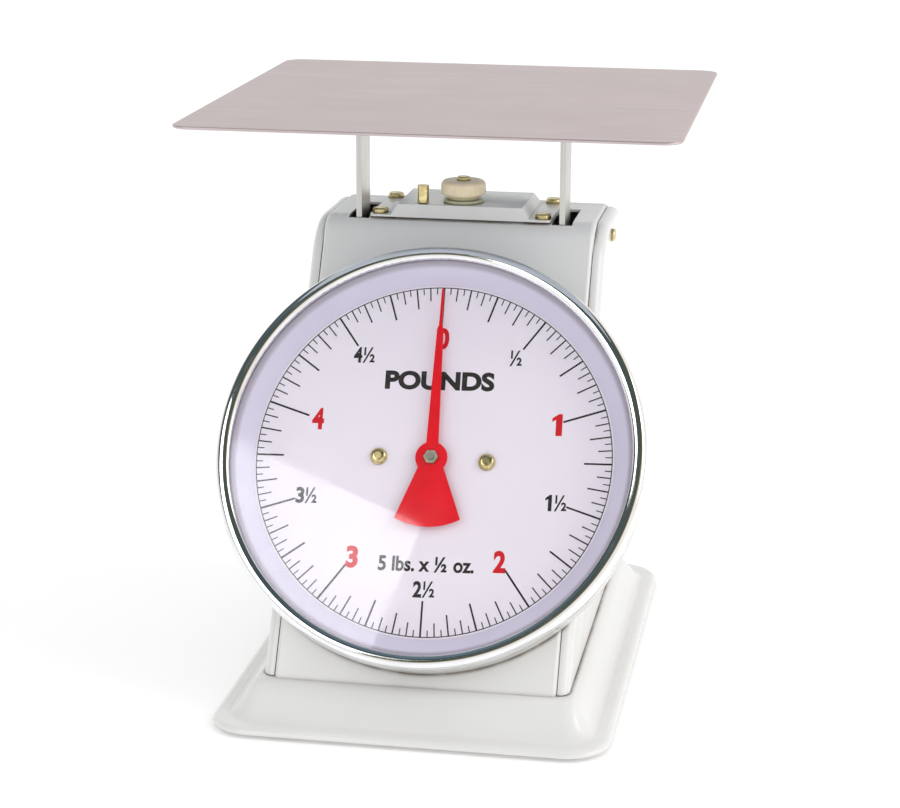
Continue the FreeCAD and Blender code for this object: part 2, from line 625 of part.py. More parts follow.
def make_rack():
    """Toothed bar that climbs along the dial's lean, teeth towards the pinion."""
    tip_x = PINION_R - 0.36
    root_x = PINION_R + 0.62
    teeth_low = -5
    teeth_high = 15
    points = [(RACK_BACK_X, RACK_LOW), (root_x, RACK_LOW)]
    for tooth in range(teeth_low, teeth_high + 1):
        middle = tooth * PITCH
        at_root = TOOTH_T / 2 + (root_x - PINION_R) * TOOTH_SLOPE
        at_tip = TOOTH_T / 2 - (PINION_R - tip_x) * TOOTH_SLOPE
        points += [(root_x, middle - at_root), (tip_x, middle - at_tip), (tip_x, middle + at_tip),
                   (root_x, middle + at_root)]
    points += [(root_x, RACK_HIGH), (RACK_BACK_X, RACK_HIGH)]
    face = Part.Face(Part.makePolygon([Vector(x, y, RACK_OFF - RACK_T / 2) for x, y in points + points[:1]]))
    bar = on_dial(face.extrude(Vector(0, 0, RACK_T)))
    keep("rack", bar.cut(box(-20, 30, EYE_Y - 6, EYE_Y + 6, EYE_Z - 5, EYE_Z + 40)))
    eye = box(EYE_X - 4.5, EYE_X + 4.5, EYE_Y - 3, EYE_Y + 3, EYE_Z - 5, EYE_Z + 4.5)
    keep("rack_eye", eye.cut(rod(Vector(EYE_X, EYE_Y - 5, EYE_Z), Y_AXIS, 10, RACK_PIN_R + 0.3)))


# ---- platform and load frame ---------------------------------------------------
def make_platform():
    half = PLATFORM_SIDE / 2
    low = PLATFORM_TOP - PLATFORM_T
    sheet = rounded_plate(-half, half, PLATFORM_Y - half, PLATFORM_Y + half, low, PLATFORM_TOP,
                          PLATFORM_CORNER_R)
    keep("platform", sheet)
    half_long = 80.0
    half_wide = 16.0
    lip = 5.0
    front = PLATFORM_Y - half_wide
    back = PLATFORM_Y + half_wide
    channel = box(-half_long, half_long, front, back, CHANNEL_LOW - lip, low)
    channel = channel.cut(box(-half_long, half_long, front + CHANNEL_T, back - CHANNEL_T,
                              CHANNEL_LOW - lip, CHANNEL_LOW))
    screws = []
    for sx in (-1, 1):
        for dy in (-UPRIGHT_SCREW_Y, UPRIGHT_SCREW_Y):
            seat = Vector(sx * (UPRIGHT_X - 14), PLATFORM_Y + dy, CHANNEL_LOW - UPRIGHT_T)
            channel = channel.cut(rod(seat, Z_AXIS, 20, 2.0))
            screws.append(screw(seat, Vector(0, 0, -1), 3.4, 2.2, 2.0, UPRIGHT_T + CHANNEL_T))
    keep("platform_channel", channel)
    keep("platform_screws", group(screws))


def make_uprights():
    top = CHANNEL_LOW
    inner = UPRIGHT_X - UPRIGHT_T / 2
    outer = UPRIGHT_X + UPRIGHT_T / 2
    front = PLATFORM_Y - UPRIGHT_D / 2
    back = PLATFORM_Y + UPRIGHT_D / 2
    bar = box(inner, outer, front, back, UPRIGHT_FOOT, top)
    flange = box(outer - FLANGE_LEN, outer, front, back, top - UPRIGHT_T, top)
    foot = box(outer - 16, outer, front, back, UPRIGHT_FOOT, UPRIGHT_FOOT + UPRIGHT_T)
    shape = bar.fuse(flange).fuse(foot).removeSplitter()
    for dy in (-UPRIGHT_SCREW_Y, UPRIGHT_SCREW_Y):
        shape = shape.cut(rod(Vector(UPRIGHT_X - 14, PLATFORM_Y + dy, top - 10), Z_AXIS, 20, 2.0))
    hole = rod(Vector(UPRIGHT_X - 8, PLATFORM_Y, UPRIGHT_FOOT - 5), Z_AXIS, 12, 2.0)
    shape = shape.cut(hole)
    keep("upright_right", shape)
    keep("upright_left", shape.mirror(Vector(), X_AXIS))


def make_load_frame():
    inner = UPRIGHT_X - UPRIGHT_T / 2
    ease = 0.05
    bar = box(-inner + ease, inner - ease, PLATFORM_Y - 8, PLATFORM_Y + 8, BAR_LOW, BAR_LOW + BAR_T)
    screws = []
    for sx in (-1, 1):
        hole = rod(Vector(sx * (UPRIGHT_X - 8), PLATFORM_Y, BAR_LOW - 5), Z_AXIS, 12, 2.0)
        bar = bar.cut(hole)
        screws.append(screw(Vector(sx * (UPRIGHT_X - 8), PLATFORM_Y, BAR_LOW + BAR_T), Z_AXIS, 3.4, 2.2, 2.0,
                            BAR_T + UPRIGHT_T))
        bar = bar.cut(rod(Vector(sx * SPRING_X, PLATFORM_Y, BAR_LOW - 1), Z_AXIS, 6, 1.2))
    keep("load_crossbar", bar)
    keep("crossbar_screws", group(screws))
    front = PLATFORM_Y - UPRIGHT_D / 2
    reach = UPRIGHT_X + UPRIGHT_T / 2
    strap = box(-reach, reach, front - 2.5, front, EYE_Z - 6, EYE_Z + 6)
    strap = strap.cut(rod(Vector(EYE_X, front - 10, EYE_Z), Y_AXIS, 20, RACK_PIN_R))
    keep("rack_strap", strap)
    pin_tip = EYE_Y - 3 - RACK_TRAVEL * SIN_L - 2.5
    keep("rack_pin", rod(Vector(EYE_X, pin_tip, EYE_Z), Y_AXIS, front + 1.5 - pin_tip, RACK_PIN_R))
    pins = []
    for z in (UPPER_LINK_Z, LOWER_LINK_Z):
        pin_y, pin_z = link_front(z)
        for sx in (-1, 1):
            start = Vector(sx * inner, pin_y, pin_z)
            pins.append(rod(start, X_AXIS * -sx, 5.5, LINK_PIN_R))
    keep("link_pins", group(pins))


# ---- check links at the back of the load frame ----------------------------------
def link_front(rear_z):
    """Where a link's front pin is at rest, as (y, z)."""
    tilt = math.radians(LINK_TILT)
    return LINK_REAR_Y - LINK_LENGTH * math.cos(tilt), rear_z + LINK_LENGTH * math.sin(tilt)


def check_link(rear_z):
    """Two arms and a cross plate, turning on the rear shaft."""
    front_y = LINK_REAR_Y - LINK_LENGTH
    slot_r = LINK_PIN_R + 0.35
    slot_half = 0.45
    shape = box(-LINK_ARM_X, LINK_ARM_X, LINK_REAR_Y - 34, LINK_REAR_Y - 16, rear_z - 0.8, rear_z + 0.8)
    for sx in (-1, 1):
        x0 = min(sx * LINK_ARM_X, sx * (LINK_ARM_X + LINK_ARM_T))
        arm = box(x0, x0 + LINK_ARM_T, front_y, LINK_REAR_Y, rear_z - LINK_EYE_R, rear_z + LINK_EYE_R)
        slot = box(x0, x0 + LINK_ARM_T, front_y - slot_half, front_y + slot_half,
                   rear_z - slot_r, rear_z + slot_r)
        for y in (LINK_REAR_Y, front_y):
            arm = arm.fuse(rod(Vector(x0, y, rear_z), X_AXIS, LINK_ARM_T, LINK_EYE_R))
        for y in (front_y - slot_half, front_y + slot_half):
            slot = slot.fuse(rod(Vector(x0, y, rear_z), X_AXIS, LINK_ARM_T, slot_r))
        bore = rod(Vector(x0, LINK_REAR_Y, rear_z), X_AXIS, LINK_ARM_T, LINK_SHAFT_R + RUNNING)
        shape = shape.fuse(arm.cut(bore).cut(slot))
    shape = shape.removeSplitter()
    shape.rotate(Vector(0, LINK_REAR_Y, rear_z), X_AXIS, -LINK_TILT)
    return shape


def make_links():
    keep("upper_check_link", check_link(UPPER_LINK_Z))
    keep("lower_check_link", check_link(LOWER_LINK_Z))
    ear_t = 1.5
    ear_x = 42.0
    wall = CASING_BACK - SHEET
    web = box(-ear_x - ear_t, ear_x + ear_t, wall - ear_t, wall, 52, 182)
    for sx in (-1, 1):
        x0 = min(sx * ear_x, sx * (ear_x + ear_t))
        for z in (UPPER_LINK_Z, LOWER_LINK_Z):
            web = web.fuse(box(x0, x0 + ear_t, LINK_REAR_Y - 6, wall, z - 8, z + 8))
    for z in (UPPER_LINK_Z, LOWER_LINK_Z):
        web = web.cut(rod(Vector(-60, LINK_REAR_Y, z), X_AXIS, 120, LINK_SHAFT_R))
    screws = []
    for x in (-20.0, 20.0):
        for z in (100.0, 140.0):
            web = web.cut(rod(Vector(x, wall - 5, z), Y_AXIS, 10, 1.5))
            screws.append(screw(Vector(x, wall - ear_t, z), Vector(0, -1, 0), 3.0, 1.8, 1.5, ear_t))
    keep("link_bracket", web.removeSplitter())
    keep("link_bracket_screws", group(screws))
    for name, z in (("upper_link_shaft", UPPER_LINK_Z), ("lower_link_shaft", LOWER_LINK_Z)):
        keep(name, rod(Vector(-48, LINK_REAR_Y, z), X_AXIS, 96, LINK_SHAFT_R))


# ---- springs and their hanger -----------------------------------------------------
def make_spring(x):
    """Close-wound extension spring: one round bead per coil, and a leg at each end."""
    coils = int((SPRING_HIGH - SPRING_LOW) / (2 * WIRE_R))
    thin = WIRE_R * 0.45
    edges = []
    outer = COIL_R + thin
    inner = COIL_R - thin
    step = 2 * WIRE_R
    for index in range(coils):
        z = SPRING_LOW + index * step
        bulge = Vector(COIL_R + WIRE_R, 0, z + step / 2)
        edges.append(Part.Arc(Vector(outer, 0, z), bulge, Vector(outer, 0, z + step)).toShape())
    top = SPRING_LOW + coils * step
    edges.append(Part.makeLine(Vector(outer, 0, top), Vector(inner, 0, top)))
    for index in reversed(range(coils)):
        z = SPRING_LOW + index * step
        bulge = Vector(COIL_R - WIRE_R, 0, z + step / 2)
        edges.append(Part.Arc(Vector(inner, 0, z + step), bulge, Vector(inner, 0, z)).toShape())
    edges.append(Part.makeLine(Vector(inner, 0, SPRING_LOW), Vector(outer, 0, SPRING_LOW)))
    coil = Part.Face(Part.Wire(edges)).revolve(Vector(), Z_AXIS, 360)
    caps = []
    for z, reach in ((SPRING_LOW, -1), (top, 1)):
        bridge = Part.makeCylinder(WIRE_R, 2 * COIL_R, Vector(-COIL_R, 0, z), X_AXIS)
        leg_len = SPRING_LOW - BAR_LOW if reach < 0 else HANGER_Z + HANGER_T - top
        caps.append(bridge.fuse(Part.makeCylinder(WIRE_R, leg_len, Vector(0, 0, z), Z_AXIS * reach)))
    shape = coil.fuse(caps[0]).fuse(caps[1])
    shape.translate(Vector(x, PLATFORM_Y, 0))
    return shape


def make_springs():
    keep("spring_left", make_spring(-SPRING_X))
    keep("spring_right", make_spring(SPRING_X))
    bar = box(-28, 28, PLATFORM_Y - 6, PLATFORM_Y + 6, HANGER_Z, HANGER_Z + HANGER_T)
    bar = bar.fuse(rod(Vector(0, PLATFORM_Y, HANGER_Z), Z_AXIS, 8.0, 5.0)).removeSplitter()
    bar = bar.cut(rod(Vector(0, PLATFORM_Y, HANGER_Z - 1), Z_AXIS, 12, 2.5 + RUNNING))
    for sx in (-1, 1):
        bar = bar.cut(rod(Vector(sx * SPRING_X, PLATFORM_Y, HANGER_Z - 1), Z_AXIS, 6, 1.2))
    keep("spring_hanger", bar)


# ---- build and write -----------------------------------------------------------
make_plinth()
make_floor_and_feet()
make_casing()
make_side_panels()
make_bridge()
make_knob()
make_dial_case()
make_bezel()
make_dial_plate()
make_movement()
make_pointer_train()
make_rack()
make_platform()
make_uprights()
make_load_frame()
make_links()
make_springs()

for name, shape in NODES.items():
    shape.exportStep("parts/" + name + ".step")
    print(name, "solids", len(shape.Solids), "valid", shape.isValid(), "volume", round(shape.Volume, 1))
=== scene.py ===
import json
import math

import bmesh
import bpy
from mathutils import Matrix, Vector

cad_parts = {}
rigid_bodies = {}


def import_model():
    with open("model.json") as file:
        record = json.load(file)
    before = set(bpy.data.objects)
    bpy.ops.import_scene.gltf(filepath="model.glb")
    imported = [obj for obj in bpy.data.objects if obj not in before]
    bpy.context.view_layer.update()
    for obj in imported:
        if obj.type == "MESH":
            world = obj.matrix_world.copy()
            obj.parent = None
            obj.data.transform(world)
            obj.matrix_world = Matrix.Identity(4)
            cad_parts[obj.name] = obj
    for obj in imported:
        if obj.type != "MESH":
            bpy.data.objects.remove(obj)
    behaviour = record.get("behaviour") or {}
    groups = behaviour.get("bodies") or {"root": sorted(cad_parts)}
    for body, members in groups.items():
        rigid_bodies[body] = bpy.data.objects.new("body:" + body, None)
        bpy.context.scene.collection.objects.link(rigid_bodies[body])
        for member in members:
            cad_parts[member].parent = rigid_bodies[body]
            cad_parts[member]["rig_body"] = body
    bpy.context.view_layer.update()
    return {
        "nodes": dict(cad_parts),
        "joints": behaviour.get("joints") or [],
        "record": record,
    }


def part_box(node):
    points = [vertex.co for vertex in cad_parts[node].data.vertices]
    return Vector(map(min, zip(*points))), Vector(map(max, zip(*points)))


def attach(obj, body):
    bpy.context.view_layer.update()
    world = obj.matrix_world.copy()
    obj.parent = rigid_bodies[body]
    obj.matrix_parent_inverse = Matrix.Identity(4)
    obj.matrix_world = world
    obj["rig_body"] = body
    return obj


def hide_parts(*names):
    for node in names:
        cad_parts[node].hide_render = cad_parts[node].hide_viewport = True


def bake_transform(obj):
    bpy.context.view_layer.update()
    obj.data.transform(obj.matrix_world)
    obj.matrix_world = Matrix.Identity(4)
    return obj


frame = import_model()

# A dial kitchen scale in its CAD frame: metres, +X right, +Y back, +Z up, the dial faces -Y.
# Shapes are worked out in mm and scaled by MM; shader sizes and light places are in metres.
MM = 0.001
NODES = frame["nodes"]
SLOT_OF = {part["node"]: part["material_slot"] for part in frame["record"]["subparts"]}
JOINTS = {joint["name"]: joint for joint in frame["joints"]}


# ---- the dial: its directions come from the pointer's joint, its sizes are in mm ----------
DIAL_RIGHT = Vector((1, 0, 0))
DIAL_OUT = -Vector(JOINTS["pointer_spin"]["axis"]).normalized()
DIAL_UP = DIAL_OUT.cross(DIAL_RIGHT)
DIAL_CENTRE = Vector(JOINTS["pointer_spin"]["pos_m"])
DIAL_AXES = Matrix((DIAL_RIGHT, DIAL_UP, DIAL_OUT)).transposed()
DIAL_PLACE = Matrix.Translation(DIAL_CENTRE) @ DIAL_AXES.to_4x4()
PRINT_TWIST = Matrix.Rotation(math.radians(1.5), 4, "Z")    # the print isn't quite upright
SCALE_R = 84.0                  # radius of the ring that the graduations stand on
LENS_OFF = 9.5                  # back of the lens, in front of the dial's face
LENS_T = 2.0
DRUM_R = 99.6                   # outside of the drum
DRUM_INNER_R = 98.4
INK_T = 0.06


# ---- shader helpers -----------------------------------------------------------------
MIX_INPUTS = (0, 6, 7)              # the factor and the two colours of a Mix node set to colours
MIX_RESULT = 2


class Finish:
    """A node material in the making, with a Principled shader at its end."""

    def __init__(self, name, **constants):
        self.material = bpy.data.materials.new(name)
        self.material.use_nodes = True
        self.tree = self.material.node_tree
        self.shader = self.tree.nodes["Principled BSDF"]
        for socket, value in constants.items():
            self.shader.inputs[socket.replace("_", " ")].default_value = value
        self.surface = None

    def node(self, kind, **settings):
        made = self.tree.nodes.new(kind)
        for key, value in settings.items():
            setattr(made, key, value)
        return made

    def feed(self, node, socket, source):
        """Gives a socket another node's output, or a constant."""
        if isinstance(source, bpy.types.NodeSocket):
            self.tree.links.new(source, node.inputs[socket])
        else:
            node.inputs[socket].default_value = source

    def place(self, stretch, turn):
        """The object's own coordinates, stretched and turned."""
        coords = self.node("ShaderNodeTexCoord")
        mapping = self.node("ShaderNodeMapping")
        mapping.inputs["Scale"].default_value = stretch
        mapping.inputs["Rotation"].default_value = [math.radians(angle) for angle in turn]
        self.feed(mapping, "Vector", coords.outputs["Object"])
        return mapping.outputs["Vector"]

    def noise(self, scale, detail=3.0, stretch=(1, 1, 1), turn=(0, 0, 0)):
        """Soft noise with `scale` features to the metre, stretched along an axis if asked."""
        texture = self.node("ShaderNodeTexNoise")
        self.feed(texture, "Vector", self.place(stretch, turn))
        self.feed(texture, "Scale", scale)
        self.feed(texture, "Detail", detail)
        return texture.outputs["Fac"]

    def cells(self, scale):
        """Distance to scattered points, `scale` to the metre, for specks and pits."""
        texture = self.node("ShaderNodeTexVoronoi")
        self.feed(texture, "Vector", self.place((1, 1, 1), (0, 0, 0)))
        self.feed(texture, "Scale", scale)
        return texture.outputs["Distance"]

    def level(self, value, low, high, out_low=0.0, out_high=1.0):
        """Spreads the span from low to high over the span from out_low to out_high."""
        span = self.node("ShaderNodeMapRange")
        for socket, source in (("Value", value), ("From Min", low), ("From Max", high),
                               ("To Min", out_low), ("To Max", out_high)):
            self.feed(span, socket, source)
        return span.outputs["Result"]

    def times(self, first, second, operation="MULTIPLY"):
        """Two values multiplied, or joined by another operation of the Math node."""
        maths = self.node("ShaderNodeMath", operation=operation)
        self.feed(maths, 0, first)
        self.feed(maths, 1, second)
        return maths.outputs["Value"]

    def mix(self, factor, first, second):
        """Colour from first to second as factor goes from 0 to 1."""
        mixer = self.node("ShaderNodeMix", data_type="RGBA")
        for socket, source in zip(MIX_INPUTS, (factor, first, second)):
            if isinstance(source, tuple):
                source = source + (1.0,)
            self.feed(mixer, socket, source)
        return mixer.outputs[MIX_RESULT]

    def crevice(self, reach, low, high):
        """1 in corners and seams, 0 where the surface is open, within `reach` metres."""
        occlusion = self.node("ShaderNodeAmbientOcclusion", samples=8)
        self.feed(occlusion, "Distance", reach)
        return self.level(occlusion.outputs["AO"], low, high, 1.0, 0.0)

    def bump(self, height, depth):
        """Adds relief `depth` metres deep to what the surface has already."""
        relief = self.node("ShaderNodeBump")
        self.feed(relief, "Height", height)
        self.feed(relief, "Distance", depth)
        if self.surface is not None:
            self.feed(relief, "Normal", self.surface)
        self.surface = relief.outputs["Normal"]
        self.feed(self.shader, "Normal", self.surface)

    def done(self, colour, roughness):
        """Feeds the shader and gives the finished material."""
        self.feed(self.shader, "Base Color", colour)
        self.feed(self.shader, "Roughness", roughness)
        return self.material


# ---- materials ------------------------------------------------------------------------
def enamel(name, light, dark):
    """Glossy stoved enamel: faint orange peel, cloudy tone, brown dirt and painted shade in the corners and
    seams, a few specks.

    The roughness stays under 0.27, where the denoiser starts to draw patches on gloss.
    """
    paint = Finish(name)
    tone = paint.mix(paint.level(paint.noise(16), 0.3, 0.7), light, dark)
    # painted shade: a wide occlusion mask turns the enamel brown in corners, for grime and for the shade that
    # falls there
    grime_and_shade_strength = paint.level(paint.noise(120), 0.3, 0.8, 0.08, 0.32)
    grime_and_painted_shade = paint.times(paint.crevice(0.010, 0.35, 0.95), grime_and_shade_strength)
    tone = paint.mix(grime_and_painted_shade, tone, (0.56, 0.53, 0.46))
    # painted shade: a narrow occlusion mask draws dark brown lines along the seams, for dirt and for the
    # shadow inside them
    seam_dirt_and_shade_strength = paint.level(paint.noise(60), 0.35, 0.6, 0.55, 0.95)
    seam_dirt_and_painted_shade = paint.times(paint.crevice(0.0022, 0.55, 0.93), seam_dirt_and_shade_strength)
    tone = paint.mix(seam_dirt_and_painted_shade, tone, (0.15, 0.11, 0.07))
    specks = paint.level(paint.cells(300), 0.03, 0.05, 1.0, 0.0)
    where = paint.level(paint.noise(9), 0.5, 0.62, 0.0, 0.3)
    tone = paint.mix(paint.times(specks, where), tone, (0.36, 0.32, 0.26))
    paint.bump(paint.noise(260, 2.0), 4.0e-6)
    paint.bump(paint.noise(1500, 2.0), 1.0e-6)
    return paint.done(tone, paint.level(paint.noise(45, 4.0), 0.3, 0.7, 0.16, 0.26))


def brushed(name, light, dark, grain, rough, metallic=1.0):
    """Brushed steel: long fine grain, cloudy tone, stray scratches, pits, and painted shade that makes the
    underside darker.

    `grain` is the fineness of the grain along each axis, `rough` its lowest roughness. Where
    `metallic` is under 1 the steel is partly matt, and doesn't go dark under a dark ceiling.
    """
    steel = Finish(name, Metallic=metallic)
    lines = steel.noise(1.0, 4.0, grain)
    cloud = steel.noise(22, 3.0)
    tone = steel.mix(steel.level(cloud, 0.3, 0.7), light, dark)
    fine_tone = steel.mix(steel.level(lines, 0.35, 0.65), tone, dark)
    shallow = [max(size * 0.2, 9.0) for size in grain]
    stray = steel.level(steel.noise(1.0, 2.0, shallow, (0, 0, 22)), 0.70, 0.74)
    tone = steel.mix(steel.times(stray, 0.5), fine_tone, light)
    pits = steel.level(steel.cells(420), 0.03, 0.06, 1.0, 0.0)
    tone = steel.mix(steel.times(pits, steel.level(cloud, 0.52, 0.6, 0.0, 0.5)), tone, (0.16, 0.14, 0.12))
    # painted shade: faces turned downwards are painted a darker blue grey
    facing = steel.node("ShaderNodeSeparateXYZ")
    steel.feed(facing, 0, steel.node("ShaderNodeNewGeometry").outputs["Normal"])
    painted_shade_underside = steel.level(facing.outputs["Z"], -0.9, -0.6, 1.0, 0.0)
    tone = steel.mix(painted_shade_underside, tone, (0.48, 0.52, 0.57))
    steel.bump(lines, 4.0e-6)
    steel.bump(stray, 4.0e-6)
    return steel.done(tone, steel.level(lines, 0.3, 0.7, rough, rough + 0.16))


def plated():
    """Zinc plate: slightly blue and yellow patches over a rolled surface, with painted shade in its corners.
    """
    steel = Finish("plated_steel", Metallic=1.0)
    patch = steel.level(steel.noise(70, 4.0), 0.35, 0.65)
    tone = steel.mix(patch, (0.58, 0.59, 0.60), (0.55, 0.53, 0.47))
    # painted shade: darker brown grey where the occlusion mask finds corners
    tone = steel.mix(steel.crevice(0.004, 0.3, 0.8), tone, (0.20, 0.18, 0.15))
    steel.bump(steel.noise(900, 3.0), 4.0e-6)
    return steel.done(tone, steel.level(steel.noise(300, 4.0), 0.3, 0.7, 0.28, 0.46))


def spring_wire():
    """Oiled wire, grey with brown patches."""
    steel = Finish("spring_steel", Metallic=1.0)
    patch = steel.level(steel.noise(260, 4.0), 0.4, 0.65)
    tone = steel.mix(patch, (0.36, 0.36, 0.37), (0.22, 0.19, 0.16))
    steel.bump(steel.noise(2400, 2.0), 3.0e-6)
    return steel.done(tone, steel.level(steel.noise(500), 0.3, 0.7, 0.28, 0.42))


def brass():
    """Turned brass, duller in patches and tarnished brown in the hollows."""
    metal = Finish("brass", Metallic=1.0)
    patch = metal.level(metal.noise(420, 4.0), 0.38, 0.66)
    tone = metal.mix(patch, (0.78, 0.66, 0.35), (0.52, 0.43, 0.20))
    tone = metal.mix(metal.crevice(0.003, 0.35, 0.85), tone, (0.20, 0.14, 0.05))
    metal.bump(metal.noise(1800, 3.0), 4.0e-6)
    return metal.done(tone, metal.level(metal.noise(700, 4.0), 0.3, 0.7, 0.16, 0.27))


def chrome():
    """Polished plating with faint smears and a slight waviness from rolling."""
    metal = Finish("chrome", Metallic=1.0)
    smear = metal.level(metal.noise(55, 5.0), 0.42, 0.72)
    tone = metal.mix(smear, (0.90, 0.905, 0.92), (0.80, 0.80, 0.80))
    metal.bump(metal.noise(35, 2.0), 1.6e-5)
    metal.bump(metal.noise(2600, 2.0), 5.0e-7)
    return metal.done(tone, metal.level(smear, 0.0, 1.0, 0.045, 0.13))


def nut_steel():
    """Passivated steel, greenish yellow in patches."""
    metal = Finish("nut_steel", Metallic=1.0)
    patch = metal.level(metal.noise(600, 4.0), 0.35, 0.65)
    tone = metal.mix(patch, (0.52, 0.56, 0.47), (0.34, 0.36, 0.24))
    metal.bump(metal.noise(1500, 3.0), 5.0e-6)
    return metal.done(tone, metal.level(patch, 0.0, 1.0, 0.28, 0.38))


def red_paint():
    """Thick glossy paint on the stamped pointer, with a few dark specks."""
    paint = Finish("red_paint", Coat_Weight=0.3, Coat_Roughness=0.06, Specular_IOR_Level=0.2)
    cloud = paint.level(paint.noise(90), 0.3, 0.7)
    tone = paint.mix(cloud, (0.88, 0.004, 0.016), (0.78, 0.003, 0.014))
    tone = paint.mix(paint.level(paint.cells(700), 0.03, 0.05, 0.4, 0.0), tone, (0.35, 0.01, 0.01))
    paint.bump(paint.noise(420, 2.0), 8.0e-6)
    return paint.done(tone, paint.level(paint.noise(150), 0.3, 0.7, 0.14, 0.22))


def dial_print():
    """White-printed dial with a lilac cast, a fine print texture and a few flecks."""
    paint = Finish("dial_print")
    cloud = paint.level(paint.noise(18), 0.3, 0.7)
    tone = paint.mix(cloud, (0.90, 0.838, 0.93), (0.925, 0.868, 0.95))
    fleck = paint.level(paint.cells(520), 0.03, 0.05, 0.35, 0.0)
    tone = paint.mix(paint.times(fleck, paint.level(paint.noise(30), 0.55, 0.7)), tone, (0.55, 0.50, 0.52))
    paint.bump(paint.noise(1300, 2.0), 2.0e-6)
    return paint.done(tone, paint.level(paint.noise(60), 0.3, 0.7, 0.34, 0.46))


def ring_plastic():
    """Satin lilac plastic of the cone between the dial and the lens, with painted shade in its corners."""
    plastic = Finish("dial_ring_plastic")
    cloud = plastic.level(plastic.noise(24), 0.3, 0.7)
    tone = plastic.mix(cloud, (0.76, 0.72, 0.87), (0.72, 0.68, 0.83))
    # painted shade: darker grey lilac where the occlusion mask finds corners
    tone = plastic.mix(plastic.crevice(0.003, 0.3, 0.8), tone, (0.42, 0.39, 0.46))
    plastic.bump(plastic.noise(700, 2.0), 5.0e-6)
    return plastic.done(tone, plastic.level(plastic.noise(80), 0.3, 0.7, 0.30, 0.42))


def clear_lens():
    """Clear pane: only its reflection is opaque, with a little dust and a few smears."""
    glass = Finish("clear_lens", Metallic=1.0)
    facing = glass.node("ShaderNodeLayerWeight").outputs["Facing"]
    mirror = glass.level(glass.times(facing, 5.0, "POWER"), 0.0, 1.0, 0.03, 1.0)
    dust = glass.level(glass.noise(40, 5.0), 0.55, 0.8, 0.0, 0.012)
    glass.feed(glass.shader, "Alpha", glass.times(mirror, dust, "ADD"))
    glass.bump(glass.noise(14, 2.0), 1.5e-5)
    smear = glass.level(glass.noise(90), 0.4, 0.7)
    tone = glass.mix(smear, (0.97, 0.98, 1.0), (0.92, 0.93, 0.94))
    return glass.done(tone, glass.level(glass.noise(30, 5.0), 0.5, 0.75, 0.02, 0.10))


def moulded(name, light, dark):
    """Moulded plastic, a little see-through, yellowed, and darkened in its grooves by dirt and painted shade.
    """
    plastic = Finish(name, Subsurface_Weight=0.35, Subsurface_Scale=0.004)
    tone = plastic.mix(plastic.level(plastic.noise(130, 4.0), 0.35, 0.7), light, dark)
    # painted shade and dirt: an occlusion mask darkens the grooves
    dirt_and_painted_shade = plastic.times(plastic.crevice(0.0025, 0.35, 0.9), 0.6)
    tone = plastic.mix(dirt_and_painted_shade, tone, tuple(part * 0.45 for part in dark))
    plastic.bump(plastic.noise(800, 3.0), 1.0e-5)
    return plastic.done(tone, plastic.level(plastic.noise(220), 0.3, 0.7, 0.30, 0.44))


def rubber():
    """Matt black rubber with grey dust."""
    soft = Finish("black_rubber")
    dust = soft.level(soft.noise(300, 4.0), 0.35, 0.7)
    tone = soft.mix(dust, (0.022, 0.022, 0.022), (0.06, 0.058, 0.055))
    soft.bump(soft.noise(900, 4.0), 2.0e-5)
    return soft.done(tone, soft.level(soft.noise(300), 0.3, 0.7, 0.6, 0.85))


def ink(name, light, dark):
    """Screen-printed ink: a little uneven in tone and gloss."""
    paint = Finish(name, Specular_IOR_Level=0.15)
    tone = paint.mix(paint.level(paint.noise(900, 4.0), 0.35, 0.7), light, dark)
    paint.bump(paint.noise(2600, 2.0), 2.0e-6)
    return paint.done(tone, paint.level(paint.noise(400), 0.3, 0.7, 0.36, 0.52))


def floor_finish():
    """White studio paper, lit a little from within so that it stays white."""
    paper = Finish("studio_floor", Emission_Color=(1.0, 1.0, 1.0, 1.0), Emission_Strength=0.20)
    cloud = paper.level(paper.noise(3, 2.0), 0.3, 0.7)
    tone = paper.mix(cloud, (0.90, 0.90, 0.90), (0.93, 0.93, 0.93))
    return paper.done(tone, paper.level(paper.noise(8, 2.0), 0.3, 0.7, 0.65, 0.75))


def make_finishes():
    """One material for each of the record's slots, and the inks."""
    return {
        "white_enamel": enamel("white_enamel", (0.785, 0.78, 0.77), (0.76, 0.755, 0.74)),
        "plated_steel": plated(),
        "satin_steel": brushed("satin_steel", (0.70, 0.69, 0.66), (0.58, 0.57, 0.54),
                               grain=(900, 900, 14), rough=0.30),
        "brushed_stainless": brushed("brushed_stainless", (0.635, 0.535, 0.54), (0.55, 0.455, 0.458),
                                     grain=(16, 2600, 900), rough=0.30, metallic=0.6),
        "spring_steel": spring_wire(),
        "brass": brass(),
        "chrome": chrome(),
        "nut_steel": nut_steel(),
        "red_paint": red_paint(),
        "dial_print": dial_print(),
        "dial_ring_plastic": ring_plastic(),
        "clear_lens": clear_lens(),
        "cream_plastic": moulded("cream_plastic", (0.93, 0.81, 0.61), (0.87, 0.73, 0.48)),
        "washer_plastic": moulded("washer_plastic", (0.60, 0.62, 0.44), (0.46, 0.48, 0.30)),
        "black_rubber": rubber(),
        "red_ink": ink("red_ink", (0.74, 0.010, 0.022), (0.62, 0.008, 0.018)),
        "black_ink": ink("black_ink", (0.020, 0.018, 0.016), (0.05, 0.045, 0.04)),
    }


FINISHES = make_finishes()


